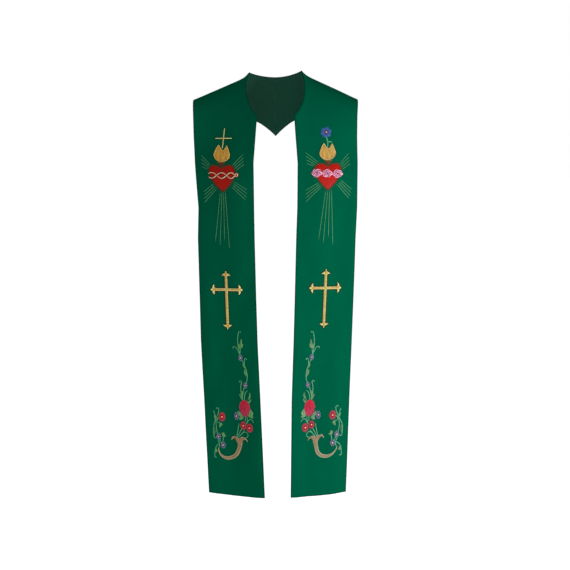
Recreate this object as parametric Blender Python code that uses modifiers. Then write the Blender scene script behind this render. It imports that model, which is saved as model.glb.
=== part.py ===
"""Clerical stole as it is worn: two wide bands that meet in a seam at the nape, pass over
the shoulders and hang down the front, with satin-stitched emblems on each band.

Frame: metres, +Z up, +X to the wearer's left, the front faces -Y. The origin is 2 mm below the
middle between the two points where the neck edge lies on the shoulders, which hold it up.
"""

from math import atan2, cos, hypot, pi, radians, sin

import bmesh
import bpy
import numpy as np

# ---------------------------------------------------------------- driving sizes (metres)
WALL = 0.002  # face cloth, interlining and backing sewn as one wall
SEAM_GAP = 0.0003  # between the two halves at the nape
STITCH = 0.001  # height of padded satin stitch

NECK_X = 0.069  # half the width of the neck opening on the shoulders
SHOULDER_X = 0.2228  # half the width of the stole on the shoulders
RIDGE_TOP = 0.0288  # the shoulder line's straight part, carried on to the middle
SHOULDER_SLOPE = 0.456  # drop of the shoulder line for each metre outwards
RIDGE_ROUND = 0.040  # how softly the shoulder line turns level behind the neck
NECK_RISE = 0.022  # the form stands up round the neck by this much
NECK_RISE_X = 0.0677
NECK_RISE_FADE = 0.0074
SHOULDER_TILT = {
    "x": (0.0, 0.066, 0.085, 0.170, 0.220),
    "height": (0.0, 0.0018, 0.0024, 0.0010, -0.0004),
}

CHEST_RADIUS = 0.41  # roundness of the front in plan
BACK_RADIUS = 0.50  # roundness of the upper back in plan
CHEST_ROUNDS_OVER = 0.22  # length down the arch in which the front takes its roundness
BACK_ROUNDS_OVER = 0.12

PANEL_TURN = 0.32  # the hanging bands lie flat, and turn back outwards by this slope
PANEL_FRONT_X = 0.050
PANEL_FLATTENS = (0.28, 0.62)  # length down the arch in which they become flat

NAPE_Z = -0.010  # the neck edge at the middle of the back
BACK_POINT_RUN = 0.240  # down the back from the shoulder line to the low point
NECK_ARC = {"centre_x": -0.0336, "centre_z": -0.0425, "end_x": 0.0484, "end_z": -0.1174}
OUTER_Z_AT_NECK_END = -0.150
HEM_Z = -1.147
HEM_CURVE = 0.0025  # the hem hangs this much lower in the middle of a band

# Slope below the horizontal, in degrees, at a distance down the arch from the shoulder line.
FRONT_FALL = {
    "run": (0.00, 0.02, 0.045, 0.08, 0.14, 0.20, 0.27, 0.34, 0.50, 0.90, 1.30),
    "slope": (0.0, 24.0, 46.0, 60.0, 67.0, 73.0, 82.0, 89.0, 91.0, 89.5, 88.5),
}
BACK_FALL = {
    "run": (0.00, 0.02, 0.045, 0.08, 0.14, 0.30),
    "slope": (0.0, 26.0, 50.0, 67.0, 77.0, 84.0),
}
FALL_STEP = 0.001
FALL_SOFTENING = 31  # steps over which the corners of a fall table are rounded

# Edges of the hanging bands, seen from the front.
BAND_EDGES = {
    "z": (-1.147, -0.880, -0.720, -0.600, -0.443, -0.360, -0.240, -0.172, -0.117, -0.073),
    "inner_left": (0.0353, 0.0389, 0.0446, 0.0482, 0.0524, 0.0556, 0.0571, 0.0519, 0.0484, 0.0484),
    "inner_right": (0.0342, 0.0445, 0.0510, 0.0538, 0.0568, 0.0576, 0.0585, 0.0529, 0.0484, 0.0484),
    "outer_left": (0.1890, 0.1981, 0.2042, 0.2087, 0.2136, 0.2178, 0.2198, 0.2187, 0.2195, 0.2228),
    "outer_right": (0.1896, 0.2000, 0.2063, 0.2078, 0.2105, 0.2080, 0.2174, 0.2203, 0.2214, 0.2228),
}

# Soft troughs (-) and ridges (+) of the hanging bands: a line from top to bottom, seen from the
# front, with the half width and the height of the wave.
FOLD_COLUMNS = ("side", "top_x", "top_z", "low_x", "low_z", "half_width", "height")
FOLDS = (
    ("left", 0.196, -0.130, 0.168, -0.520, 0.024, -0.0040),
    ("left", 0.120, -0.150, 0.118, -0.760, 0.034, 0.0030),
    ("left", 0.168, -0.560, 0.150, -1.300, 0.026, 0.0035),
    ("left", 0.085, -0.700, 0.078, -1.300, 0.022, -0.0030),
    ("right", 0.192, -0.120, 0.150, -0.430, 0.026, -0.0055),
    ("right", 0.110, -0.160, 0.102, -0.640, 0.030, 0.0030),
    ("right", 0.196, -0.420, 0.180, -0.900, 0.022, 0.0040),
    ("right", 0.130, -0.720, 0.118, -1.300, 0.030, -0.0030),
    ("right", 0.062, -0.640, 0.052, -1.300, 0.020, 0.0025),
)
FOLD_FADE = 0.30  # share of a fold's length in which it comes and goes

COLUMNS = 16  # faces across a band
STRETCHES = {"back": 16, "neck": 13, "hang": 37}  # faces along each stretch of a band
SHOULDER_CROWDING = {"back": 1.35, "neck": 1.70}  # over 1, rows lie closer on the shoulder

# ---------------------------------------------------------------- emblems (metres)
EMBLEM_CELL = 0.010
EMBLEM_GAP = 0.0004  # under an emblem, whose flat cells sag a little over the curved cloth
LAYER_GAP = 0.0006  # under an emblem that is stitched over another
EMBLEM_PLACES = {  # x out from the middle, z, and lean of the top outwards in degrees
    "crest": {"left": (0.1332, -0.1607, 0.0), "right": (0.1380, -0.1755, -6.1)},
    "flame": {"left": (0.1362, -0.2115, -2.0), "right": (0.1424, -0.2152, -2.0)},
    "heart": {"left": (0.1371, -0.2758, 0.3), "right": (0.1433, -0.2795, 0.3)},
    "crown": {"left": (0.1364, -0.2685, 3.0), "right": (0.1398, -0.2729, 0.3)},
    "cross": {"left": (0.1303, -0.5742, 2.3), "right": (0.1340, -0.5778, 1.3)},
    "rose": {"left": (0.0872, -0.9015, 8.0), "right": (0.0867, -0.9018, 8.0)},
    "horn": {"left": (0.1346, -1.0118, 0.0), "right": (0.1326, -1.0166, 0.0)},
}
FLOWERS = {  # half width and half height of a small flower, and x out from the middle and z
    "red_upper": {"half": (0.0097, 0.0138), "left": (0.1505, -0.9251), "right": (0.1504, -0.9300)},
    "red_middle": {"half": (0.0083, 0.0125), "left": (0.0925, -0.9490), "right": (0.0917, -0.9500)},
    "red_inner": {"half": (0.0088, 0.0128), "left": (0.0745, -0.9550), "right": (0.0738, -0.9550)},
    "blue_vine": {"half": (0.0063, 0.0094), "left": (0.0935, -0.7615), "right": (0.0980, -0.7625)},
    "blue_side": {"half": (0.0069, 0.0120), "left": (0.1113, -0.9222), "right": (0.1100, -0.9246)},
    "blue_outer": {"half": (0.0068, 0.0102), "left": (0.1620, -0.9798), "right": (0.1605, -0.9858)},
    "blue_low": {"half": (0.0075, 0.0104), "left": (0.1505, -1.0030), "right": (0.1481, -1.0090)},
}
HEART_WIDTH, HEART_HEIGHT = 0.0728, 0.0765
HEART_SHAPE = {"tip": -0.50, "widest": 0.25, "lobe": 0.63, "top": 0.455, "notch": 0.345}
CROWN_LENGTH, CROWN_HEIGHT = 0.082, 0.018
FLAME_WIDTH, FLAME_HEIGHT = 0.0455, 0.0450
FLAME_SHAPE = {  # across and up, as shares of its size
    "foot": -0.52,
    "side": -0.08,
    "tall": (-0.21, 0.49),
    "hollow": (0.08, 0.175),
    "short": (0.28, 0.44),
}
ROSE_HALF_WIDTH, ROSE_HALF_HEIGHT = 0.0152, 0.0230
CREST_CROSS = {"height": 0.0530, "span": 0.0445, "bar": 0.0034, "arm_at": 0.500}
CREST_FLOWER_RADIUS = 0.0147
GOLD_CROSS = {"height": 0.1625, "span": 0.0882, "bar": 0.0090, "arm_at": 0.679}
CROSS_END = {  # back from the tip, and half width, both in bar widths
    "back": (0.0, 0.45, 0.88, 1.08, 1.53, 1.62, 1.95, 2.20),
    "half": (0.0, 0.30, 0.56, 1.00, 1.40, 0.95, 0.60, 0.50),
}
HORN = {"radius": 0.0280, "mouth_x": -0.0310, "mouth_z": 0.0225, "lip": 0.0221}
HORN_TAPER = {  # half the width of the horn at a distance along it from the mouth
    "along": (0.000, 0.009, 0.016, 0.030, 0.066, 0.085, 0.096, 0.110),
    "half": (0.0081, 0.0067, 0.0055, 0.0049, 0.0046, 0.0034, 0.0021, 0.0008),
}
HORN_LIP = {  # the rolled lip, out from the middle of the mouth and up, in lip lengths
    "out": (0.42, 0.60, 0.80, 1.00, 0.95, 0.82, 0.62, 0.30),
    "up": (0.12, 0.38, 0.28, 0.06, 0.30, 0.52, 0.68, 0.62),
    "dip": 0.54,
}

COLOURS = {  # base colour, roughness
    "green_cloth": ((0.000, 0.105, 0.060, 1), 0.70),
    "gold_thread": ((0.520, 0.350, 0.080, 1), 0.42),
    "red_thread": ((0.500, 0.020, 0.020, 1), 0.50),
    "rose_thread": ((0.560, 0.030, 0.070, 1), 0.50),
    "blue_thread": ((0.090, 0.110, 0.420, 1), 0.50),
    "pink_thread": ((0.680, 0.330, 0.560, 1), 0.50),
    "bronze_thread": ((0.300, 0.200, 0.100, 1), 0.45),
    "cream_thread": ((0.560, 0.500, 0.330, 1), 0.50),
}
SIDES = {"left": 1, "right": -1}  # the wearer's


# ---------------------------------------------------------------- the worn form
def ease(share):
    """0 to 1 with a level start and end."""
    share = np.clip(share, 0.0, 1.0)
    return share * share * (3.0 - 2.0 * share)


def fall_of(table):
    """Run, forward reach and drop along an arch that starts level and follows the table's slopes."""
    run = np.arange(0.0, table["run"][-1] + FALL_STEP, FALL_STEP)
    slope = np.radians(np.interp(run, table["run"], table["slope"]))
    half = FALL_SOFTENING // 2
    rise_in = np.linspace(-slope[half], slope[0], half)
    padded = np.concatenate([rise_in, slope, np.repeat(slope[-1], half)])
    slope = np.convolve(padded, np.ones(FALL_SOFTENING) / FALL_SOFTENING, "valid")
    slope -= slope[0]
    middle = (slope[1:] + slope[:-1]) / 2.0
    reach = np.concatenate([[0.0], np.cumsum(np.cos(middle) * FALL_STEP)])
    drop = np.concatenate([[0.0], np.cumsum(np.sin(middle) * FALL_STEP)])
    return run, reach, drop


FRONT = fall_of(FRONT_FALL)
BACK = fall_of(BACK_FALL)


def ridge_height(x, side):
    """Height of the shoulder line at a distance x from the middle, on one side."""
    rise = NECK_RISE / (1.0 + np.exp((x - NECK_RISE_X) / NECK_RISE_FADE))
    tilt = np.interp(x, SHOULDER_TILT["x"], SHOULDER_TILT["height"]) * SIDES[side]
    return RIDGE_TOP - SHOULDER_SLOPE * np.hypot(x, RIDGE_ROUND) + rise + tilt


def set_back(x, radius):
    """How far a form that is round in plan lies behind its middle at x."""
    return radius - np.sqrt(radius * radius - x * x)


def front_depth(x, down):
    """How far the front lies behind its middle: round over the chest, flat where it hangs."""
    rounded = set_back(x, CHEST_RADIUS) * ease(down / CHEST_ROUNDS_OVER)
    flat = PANEL_TURN * (x - PANEL_FRONT_X)
    first, last = PANEL_FLATTENS
    return rounded + (flat - rounded) * ease((down - first) / (last - first))


def fold_height(x, z, side):
    """Height of the soft folds over the form at a place of one front band."""
    total = 0.0
    for row in FOLDS:
        fold = dict(zip(FOLD_COLUMNS, row))
        if fold["side"] != side:
            continue
        along = (z - fold["top_z"]) / (fold["low_z"] - fold["top_z"])
        fade = ease(along / FOLD_FADE) * ease((1.0 - along) / FOLD_FADE)
        centre = fold["top_x"] + (fold["low_x"] - fold["top_x"]) * along
        total += fold["height"] * fade * np.exp(-(((x - centre) / fold["half_width"]) ** 2))
    return total


def form_point(x, run, side):
    """A point of the worn form; run goes down the front, or down the back if negative."""
    down = abs(run)
    if run >= 0.0:
        reach, drop = np.interp(down, FRONT[0], FRONT[1]), np.interp(down, FRONT[0], FRONT[2])
        z = ridge_height(x, side) - drop
        y = -reach + front_depth(x, down) - fold_height(x, z, side)
    else:
        reach, drop = np.interp(down, BACK[0], BACK[1]), np.interp(down, BACK[0], BACK[2])
        z = ridge_height(x, side) - drop
        y = reach - set_back(x, BACK_RADIUS) * ease(down / BACK_ROUNDS_OVER)
    return np.array((x * SIDES[side], y, z))


def run_at(x, z, side, fall=FRONT):
    """How far down the front, or another fall, the form reaches height z."""
    return float(np.interp(ridge_height(x, side) - z, fall[2], fall[0]))


def lay_on_front(x, z, side, height):
    """The point at a height over the front of the form, at a place seen from the front."""
    step = 0.002
    here = form_point(x, run_at(x, z, side), side)
    across = form_point(x + step, run_at(x + step, z, side), side) - here
    down = form_point(x, run_at(x, z - step, side), side) - here
    normal = np.cross(down, across) * SIDES[side]
    return here + normal / np.linalg.norm(normal) * height


# ---------------------------------------------------------------- the cut of one half
def neck_edge(station, side):
    """x and run of the inner edge: nape at 0, shoulder at 1, end of neck curve at 2, hem at 3."""
    if station <= 1.0:
        turn = station * pi / 2.0
        x = max(NECK_X * sin(turn), SEAM_GAP / 2.0)
        return x, -run_at(x, nape_height(turn, side), side, BACK)
    if station <= 2.0:
        centre_x, centre_z = NECK_ARC["centre_x"], NECK_ARC["centre_z"]
        first = atan2(-centre_z, NECK_X - centre_x)
        last = atan2(NECK_ARC["end_z"] - centre_z, NECK_ARC["end_x"] - centre_x)
        radius = hypot(NECK_X - centre_x, centre_z)
        angle = first + (last - first) * (station - 1.0)
        x = centre_x + radius * cos(angle)
        return x, run_at(x, centre_z + radius * sin(angle), side)
    z = NECK_ARC["end_z"] + (HEM_Z - NECK_ARC["end_z"]) * (station - 2.0)
    x = float(np.interp(z, BAND_EDGES["z"], BAND_EDGES["inner_" + side]))
    return x, run_at(x, z, side)


def nape_height(turn, side):
    """Height of the neck edge behind the neck, from the middle of the back to the shoulder."""
    shoulder_z = float(ridge_height(NECK_X, side))
    return NAPE_Z + (shoulder_z - NAPE_Z) * sin(turn) ** 2


def outer_edge(station, side):
    """x and run of the outer edge: low point of the back at 0, shoulder at 1, hem at 3."""
    if station <= 1.0:
        x = max(SHOULDER_X * station, SEAM_GAP / 2.0)
        return x, -BACK_POINT_RUN * (1.0 - station)
    shoulder_z = float(ridge_height(SHOULDER_X, side))
    if station <= 2.0:
        z = shoulder_z + (OUTER_Z_AT_NECK_END - shoulder_z) * (station - 1.0)
    else:
        z = OUTER_Z_AT_NECK_END + (HEM_Z - OUTER_Z_AT_NECK_END) * (station - 2.0)
    x = float(np.interp(z, BAND_EDGES["z"], BAND_EDGES["outer_" + side]))
    return x, run_at(x, z, side)


def hem_slack(across, side):
    """Extra run of the hem between its corners, which makes it level but for its small curve."""
    (inner_x, inner_run), (outer_x, outer_run) = neck_edge(3.0, side), outer_edge(3.0, side)
    x = inner_x + (outer_x - inner_x) * across
    z = HEM_Z - HEM_CURVE * 4.0 * across * (1.0 - across)
    return run_at(x, z, side) - inner_run - (outer_run - inner_run) * across


def stations():
    """Where the rows of faces lie along a half, closer together over the shoulder."""
    share = {name: [n / count for n in range(count)] for name, count in STRETCHES.items()}
    back = [1.0 - (1.0 - part) ** SHOULDER_CROWDING["back"] for part in share["back"]]
    neck = [1.0 + part ** SHOULDER_CROWDING["neck"] for part in share["neck"]]
    hang = [2.0 + part for part in share["hang"]]
    return back + neck + hang + [3.0]


# ---------------------------------------------------------------- outlines of the emblems
def cross_outline(height, span, bar, arm_at, budded):
    """A Latin cross about its crossing. A budded one ends in a point between two curled leaves."""
    end = CROSS_END if budded else {"back": (0.0,), "half": (0.5,)}
    reach = list(zip(end["back"], end["half"]))
    arms = (
        (height * (1.0 - arm_at), pi / 2.0),
        (span / 2.0, pi),
        (height * arm_at, -pi / 2.0),
        (span / 2.0, 0.0),
    )
    outline = []
    for length, direction in arms:
        near = [(length - back * bar, -out * bar) for back, out in reversed(reach)]
        far = [(length - back * bar, out * bar) for back, out in reach if out > 0.0]
        for along, out in near + far + [(bar / 2.0, bar / 2.0)]:
            outline.append(
                (
                    along * cos(direction) - out * sin(direction),
                    along * sin(direction) + out * cos(direction),
                )
            )
    return outline


def heart_foot(out):
    """Lower edge of the heart at a share of its half width, as a share of its height."""
    shape = HEART_SHAPE
    return shape["widest"] - (shape["widest"] - shape["tip"]) * (1.0 - abs(out)) ** 0.44


def heart_top(out):
    """Upper edge of the heart at a share of its half width, as a share of its height."""
    shape = HEART_SHAPE
    beyond = (abs(out) - shape["lobe"]) / (1.0 - shape["lobe"])
    if beyond > 0.0:
        return shape["widest"] + (shape["top"] - shape["widest"]) * (1.0 - beyond**2) ** 0.5
    inward = 1.0 - abs(out) / shape["lobe"]
    return shape["top"] - (shape["top"] - shape["notch"]) * inward**2.2


def heart_outline(width, height, points=9):
    """A full heart about its middle, point down."""
    side = [1.0 - (1.0 - n / points) ** 2.2 for n in range(points + 1)]
    around = [-out for out in reversed(side)] + side[1:]
    lower = [(out, heart_foot(out)) for out in around[:-1]]
    upper = [(out, heart_top(out)) for out in reversed(around[1:])]
    return [(out * width / 2.0, up * height) for out, up in lower + upper]


def flame_foot(out):
    """Lower edge of the flame at a share of its width, as a share of its height."""
    shape = FLAME_SHAPE
    return shape["side"] - (shape["side"] - shape["foot"]) * (1.0 - abs(2.0 * out) ** 2.4) ** 0.42


def flame_top(out):
    """Upper edge of the flame at a share of its width, as a share of its height."""
    shape = FLAME_SHAPE
    left, right = (-0.5, shape["side"]), (0.5, shape["side"])
    for start, end, bulging in (
        (left, shape["tall"], True),
        (shape["hollow"], shape["tall"], False),
        (shape["hollow"], shape["short"], False),
        (right, shape["short"], True),
    ):
        share = (out - start[0]) / (end[0] - start[0])
        if 0.0 <= share <= 1.0:
            lift = 1.0 - (1.0 - share) ** 1.55 if bulging else share**1.5
            return start[1] + (end[1] - start[1]) * lift
    return shape["side"]


def flame_outline(width, height, points=8):
    """A round flame with two tongues and a hollow between them."""
    lower = [-0.5 * cos(pi * n / points) for n in range(points)]
    corners = [0.5] + [FLAME_SHAPE[name][0] for name in ("short", "hollow", "tall")] + [-0.5]
    upper = []
    for start, end in zip(corners, corners[1:]):
        upper += [start + (end - start) * n / 4.0 for n in range(4)]
    chain = [(out, flame_foot(out)) for out in lower] + [(out, flame_top(out)) for out in upper]
    return [(a * width, b * height) for a, b in chain]


def band_outline(length, height, waves, depth, points=24):
    """A level band whose edges swell and narrow together, like a twist or a row of blossoms."""
    upper = []
    for n in range(points + 1):
        share = n / points
        swell = 1.0 - depth + depth * abs(sin(waves * pi * share))
        upper.append(((share - 0.5) * length, swell * height / 2.0))
    return [(a, -b) for a, b in upper] + list(reversed(upper))


def flower_outline(half_width, half_height, petals, depth, points_per_petal=4):
    """A flower about its middle, which may be taller than it is wide."""
    count = petals * points_per_petal
    outline = []
    for n in range(count):
        turn = 2.0 * pi * n / count
        reach = 1.0 - depth + depth * cos(petals * turn)
        outline.append((half_width * reach * cos(turn), half_height * reach * sin(turn)))
    return outline


def horn_rail(way, points):
    """One edge of the horn from the mouth to the tip: down a funnel and round a half circle."""
    radius = HORN["radius"]
    mouth = np.array((HORN["mouth_x"], HORN["mouth_z"]))
    funnel = hypot(mouth[0] + radius, mouth[1])
    length = HORN_TAPER["along"][-1]
    edge = []
    for n in range(points + 1):
        along = length * n / points
        if along < funnel:
            middle = mouth + (np.array((-radius, 0.0)) - mouth) * along / funnel
            beside = np.array((-1.0, 0.0))
        else:
            angle = pi + (along - funnel) / radius
            beside = np.array((cos(angle), sin(angle)))
            middle = beside * radius
        half = np.interp(along, HORN_TAPER["along"], HORN_TAPER["half"])
        edge.append(tuple(middle + beside * half * way))
    return edge


def horn_outline(points=20):
    """A horn of plenty about the middle of its curl, with a rolled lip at its mouth."""
    lip = [
        (HORN["mouth_x"] + out * HORN["lip"], HORN["mouth_z"] + up * HORN["lip"])
        for out, up in zip(HORN_LIP["out"], HORN_LIP["up"])
    ]
    dip = [(HORN["mouth_x"], HORN["mouth_z"] + HORN_LIP["dip"] * HORN["lip"])]
    other_lip = [(2.0 * HORN["mouth_x"] - a, b) for a, b in reversed(lip)]
    outer, inner = horn_rail(1.0, points), horn_rail(-1.0, points)
    return outer[1:] + list(reversed(inner[1:])) + lip + dip + other_lip


# ---------------------------------------------------------------- making the objects
def clear_scene():
    for old in list(bpy.data.objects):
        bpy.data.objects.remove(old)


def new_collection(name):
    collection = bpy.data.collections.new(name)
    bpy.context.scene.collection.children.link(collection)
    return collection


def make_material(name):
    colour, roughness = COLOURS[name]
    material = bpy.data.materials.get(name)
    if material is None:
        material = bpy.data.materials.new(name)
        material.use_nodes = True
        material.diffuse_color = colour
        shader = material.node_tree.nodes["Principled BSDF"]
        shader.inputs["Base Color"].default_value = colour
        shader.inputs["Roughness"].default_value = roughness
    return material


def wall_from(bm, name, thickness, material_name, collection):
    """An object from an open surface, with its thickness laid on the outside."""
    mesh = bpy.data.meshes.new(name)
    bm.to_mesh(mesh)
    bm.free()
    mesh.materials.append(make_material(material_name))
    wall = bpy.data.objects.new(name, mesh)
    collection.objects.link(wall)
    solidify = wall.modifiers.new("thickness", "SOLIDIFY")
    solidify.thickness = thickness
    solidify.offset = 1.0
    solidify.use_even_offset = True
    return wall


def make_half(side, collection):
    """One half of the stole, from the seam at the nape over the shoulder to the hem."""
    rows = stations()
    bm = bmesh.new()
    bmesh.ops.create_grid(bm, x_segments=len(rows) - 1, y_segments=COLUMNS, size=0.5)
    for vert in bm.verts:
        station = rows[round((vert.co.x + 0.5) * (len(rows) - 1))]
        across = vert.co.y + 0.5
        neck_x, neck_run = neck_edge(station, side)
        outer_x, outer_run = outer_edge(station, side)
        x = neck_x + (outer_x - neck_x) * across
        run = neck_run + (outer_run - neck_run) * across
        run += hem_slack(across, side) * max(0.0, station - 2.0) ** 2
        vert.co = form_point(x, run, side)
    if SIDES[side] < 0:
        bmesh.ops.reverse_faces(bm, faces=bm.faces[:])
    half = wall_from(bm, "half_" + side, WALL, "green_cloth", collection)
    half.data.shade_smooth()
    half.data.set_sharp_from_angle(angle=radians(40.0))
    return half


def slice_in_cells(bm, outline):
    """Cuts a flat face along a grid, so that it can follow the form."""
    for axis in (0, 1):
        low = min(point[axis] for point in outline)
        high = max(point[axis] for point in outline)
        cells = max(1, round((high - low) / EMBLEM_CELL))
        for n in range(1, cells):
            place, normal = [0.0, 0.0, 0.0], [0.0, 0.0, 0.0]
            place[axis] = low + (high - low) * n / cells
            normal[axis] = 1.0
            geometry = bm.verts[:] + bm.edges[:] + bm.faces[:]
            bmesh.ops.bisect_plane(
                bm, geom=geometry, dist=1e-5, plane_co=place, plane_no=normal
            )


def make_emblem(name, outline, side, material_name, collection, place=None, layer=0):
    """A padded satin-stitch shape that follows the front of a band, or lies on another emblem."""
    centre_x, centre_z, lean = place or EMBLEM_PLACES[name][side]
    up, out = cos(radians(lean)), sin(radians(lean))
    bm = bmesh.new()
    bm.faces.new([bm.verts.new((a, b, 0.0)) for a, b in outline])
    bm.normal_update()
    slice_in_cells(bm, outline)
    bmesh.ops.triangulate(bm, faces=bm.faces[:])
    height = WALL + EMBLEM_GAP + layer * (STITCH + LAYER_GAP)
    for vert in bm.verts:
        a, b = vert.co.x, vert.co.y
        x = centre_x + a * up + b * out
        z = centre_z + b * up - a * out
        vert.co = lay_on_front(x, z, side, height)
    if SIDES[side] < 0:
        bmesh.ops.reverse_faces(bm, faces=bm.faces[:])
    return wall_from(bm, name + "_" + side, STITCH, material_name, collection)


def make_heart_group(side, collection):
    """A flaming heart: heart, band round it, flame, and the crest over the flame."""
    heart = heart_outline(HEART_WIDTH, HEART_HEIGHT)
    make_emblem("heart", heart, side, "red_thread", collection)
    flame = flame_outline(FLAME_WIDTH, FLAME_HEIGHT)
    if side == "right":
        flame = [(-a, b) for a, b in reversed(flame)]
        crown = band_outline(CROWN_LENGTH, CROWN_HEIGHT, waves=3, depth=0.45)
        crown_thread = "cream_thread"
        crest = cross_outline(**CREST_CROSS, budded=False)
        crest_thread = "gold_thread"
    else:
        crown = band_outline(CROWN_LENGTH, CROWN_HEIGHT, waves=3, depth=0.30)
        crown_thread = "pink_thread"
        crest = flower_outline(CREST_FLOWER_RADIUS, CREST_FLOWER_RADIUS, petals=6, depth=0.14)
        crest_thread = "blue_thread"
    make_emblem("flame", flame, side, "gold_thread", collection)
    make_emblem("crown", crown, side, crown_thread, collection, layer=1)
    make_emblem("crest", crest, side, crest_thread, collection)


def make_flower_group(side, collection):
    """A horn of plenty with a rose and small flowers."""
    make_emblem("horn", horn_outline(), side, "bronze_thread", collection)
    rose = flower_outline(ROSE_HALF_WIDTH, ROSE_HALF_HEIGHT, petals=7, depth=0.05)
    make_emblem("rose", rose, side, "rose_thread", collection)
    for name, flower in FLOWERS.items():
        red = name.startswith("red")
        outline = flower_outline(*flower["half"], petals=6, depth=0.06 if red else 0.16)
        thread = "red_thread" if red else "blue_thread"
        place = (*flower[side], 0.0)
        make_emblem("flower_" + name, outline, side, thread, collection, place=place)


def main():
    clear_scene()
    stole = new_collection("clerical_stole")
    for side in SIDES:
        make_half(side, stole)
        make_heart_group(side, stole)
        cross = cross_outline(**GOLD_CROSS, budded=True)
        make_emblem("cross", cross, side, "gold_thread", stole)
        make_flower_group(side, stole)


main()
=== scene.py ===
from math import atan2, ceil, cos, hypot, pi, radians, sin

import bmesh
import bpy
import numpy as np
from bpy.props import FloatProperty, FloatVectorProperty, IntProperty, PointerProperty
from mathutils import Matrix, Vector


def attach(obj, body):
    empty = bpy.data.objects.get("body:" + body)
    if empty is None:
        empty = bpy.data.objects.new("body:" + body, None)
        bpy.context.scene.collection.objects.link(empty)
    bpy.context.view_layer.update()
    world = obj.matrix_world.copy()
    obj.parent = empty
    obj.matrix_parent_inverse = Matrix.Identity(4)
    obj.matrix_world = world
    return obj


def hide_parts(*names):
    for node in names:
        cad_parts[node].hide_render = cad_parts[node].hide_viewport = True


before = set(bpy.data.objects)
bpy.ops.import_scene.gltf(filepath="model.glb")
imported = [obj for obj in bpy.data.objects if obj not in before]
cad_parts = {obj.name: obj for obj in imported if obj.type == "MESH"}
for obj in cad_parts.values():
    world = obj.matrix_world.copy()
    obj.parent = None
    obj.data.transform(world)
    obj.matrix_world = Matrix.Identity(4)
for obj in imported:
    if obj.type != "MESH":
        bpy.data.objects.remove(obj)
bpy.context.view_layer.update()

bl_info = {
    "name": "Clerical Stole",
    "version": (1, 0, 0),
    "blender": (4, 5, 0),
    "location": "3D Viewport > Sidebar > Stole",
    "description": "A worn clerical stole with embroidered hearts, crosses and flowers",
    "category": "Add Mesh",
}

BODY = "root"
SIDES = {"left": 1, "right": -1}  # the wearer's, and the direction in which each lies

# ---------------------------------------------------------------- the worn form (metres)
NECK_X = 0.069  # where the neck edge crosses the shoulder line
SHOULDER_X = 0.2228  # where the outer edge crosses it
RIDGE_TOP = 0.0288  # height at which the slopes of both shoulders would meet
SHOULDER_SLOPE = 0.456  # fall for each metre outwards
RIDGE_ROUND = 0.040  # how widely both slopes are rounded into each other
NECK_RISE = 0.022  # by which the cloth climbs the neck
NECK_RISE_X = 0.0677  # where it has climbed half of that
NECK_RISE_FADE = 0.0074  # how soon it climbs
SHOULDER_TILT = {  # the shoulder line is higher by this on the left, and lower on the right
    "x": (0.0, 0.066, 0.085, 0.170, 0.220),
    "height": (0.0, 0.0018, 0.0024, 0.0010, -0.0004),
}
CHEST_RADIUS = 0.41  # seen from above
BACK_RADIUS = 0.50
CHEST_ROUNDS_OVER = 0.22  # run from the shoulder line in which the chest gets its radius
BACK_ROUNDS_OVER = 0.12  # and the back
PANEL_TURN = 0.32  # how far back a hanging band turns for each metre outwards
PANEL_FRONT_X = 0.050  # where it is furthest forward
PANEL_FLATTENS = (0.28, 0.62)  # run over which the chest gives way to a flat band
NAPE_Z = -0.010  # of the neck edge at the middle of the back
BACK_POINT_RUN = 0.240  # from the shoulder line to the low point of the back
NECK_ARC = {  # the curve of the neck edge down the front
    "centre_x": -0.0336,
    "centre_z": -0.0425,
    "end_x": 0.0484,
    "end_z": -0.1174,
}
OUTER_Z_AT_NECK_END = -0.150  # of the outer edge, across from the end of the neck curve
HEM_Z = -1.147  # of its corners
HEM_CURVE = 0.0025  # how far its middle lies below them
FRONT_FALL = {  # slope in degrees at a run from the shoulder line down the front
    "run": (0.00, 0.02, 0.045, 0.08, 0.14, 0.20, 0.27, 0.34, 0.50, 0.90, 1.30),
    "slope": (0.0, 24.0, 46.0, 60.0, 67.0, 73.0, 82.0, 89.0, 91.0, 89.5, 88.5),
}
BACK_FALL = {  # and down the back
    "run": (0.00, 0.02, 0.045, 0.08, 0.14, 0.30),
    "slope": (0.0, 26.0, 50.0, 67.0, 77.0, 84.0),
}
FALL_STEP = 0.001  # from point to point of an arch
FALL_SOFTENING = 31  # points over which its slope is levelled out
NORMAL_STEP = 0.001  # between the places that give the normal of the form
BAND_EDGES = {  # x of the edges of both bands at some heights
    "z": (-1.147, -0.880, -0.720, -0.600, -0.443, -0.360, -0.240, -0.172, -0.117, -0.073),
    "inner_left": (0.0353, 0.0389, 0.0446, 0.0482, 0.0524, 0.0556, 0.0571, 0.0519, 0.0484, 0.0484),
    "inner_right": (0.0342, 0.0445, 0.0510, 0.0538, 0.0568, 0.0576, 0.0585, 0.0529, 0.0484, 0.0484),
    "outer_left": (0.1890, 0.1981, 0.2042, 0.2087, 0.2136, 0.2178, 0.2198, 0.2187, 0.2195, 0.2228),
    "outer_right": (0.1896, 0.2000, 0.2063, 0.2078, 0.2105, 0.2080, 0.2174, 0.2203, 0.2214, 0.2228),
}
FOLD_COLUMNS = ("side", "top_x", "top_z", "low_x", "low_z", "half_width", "height")
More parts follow.
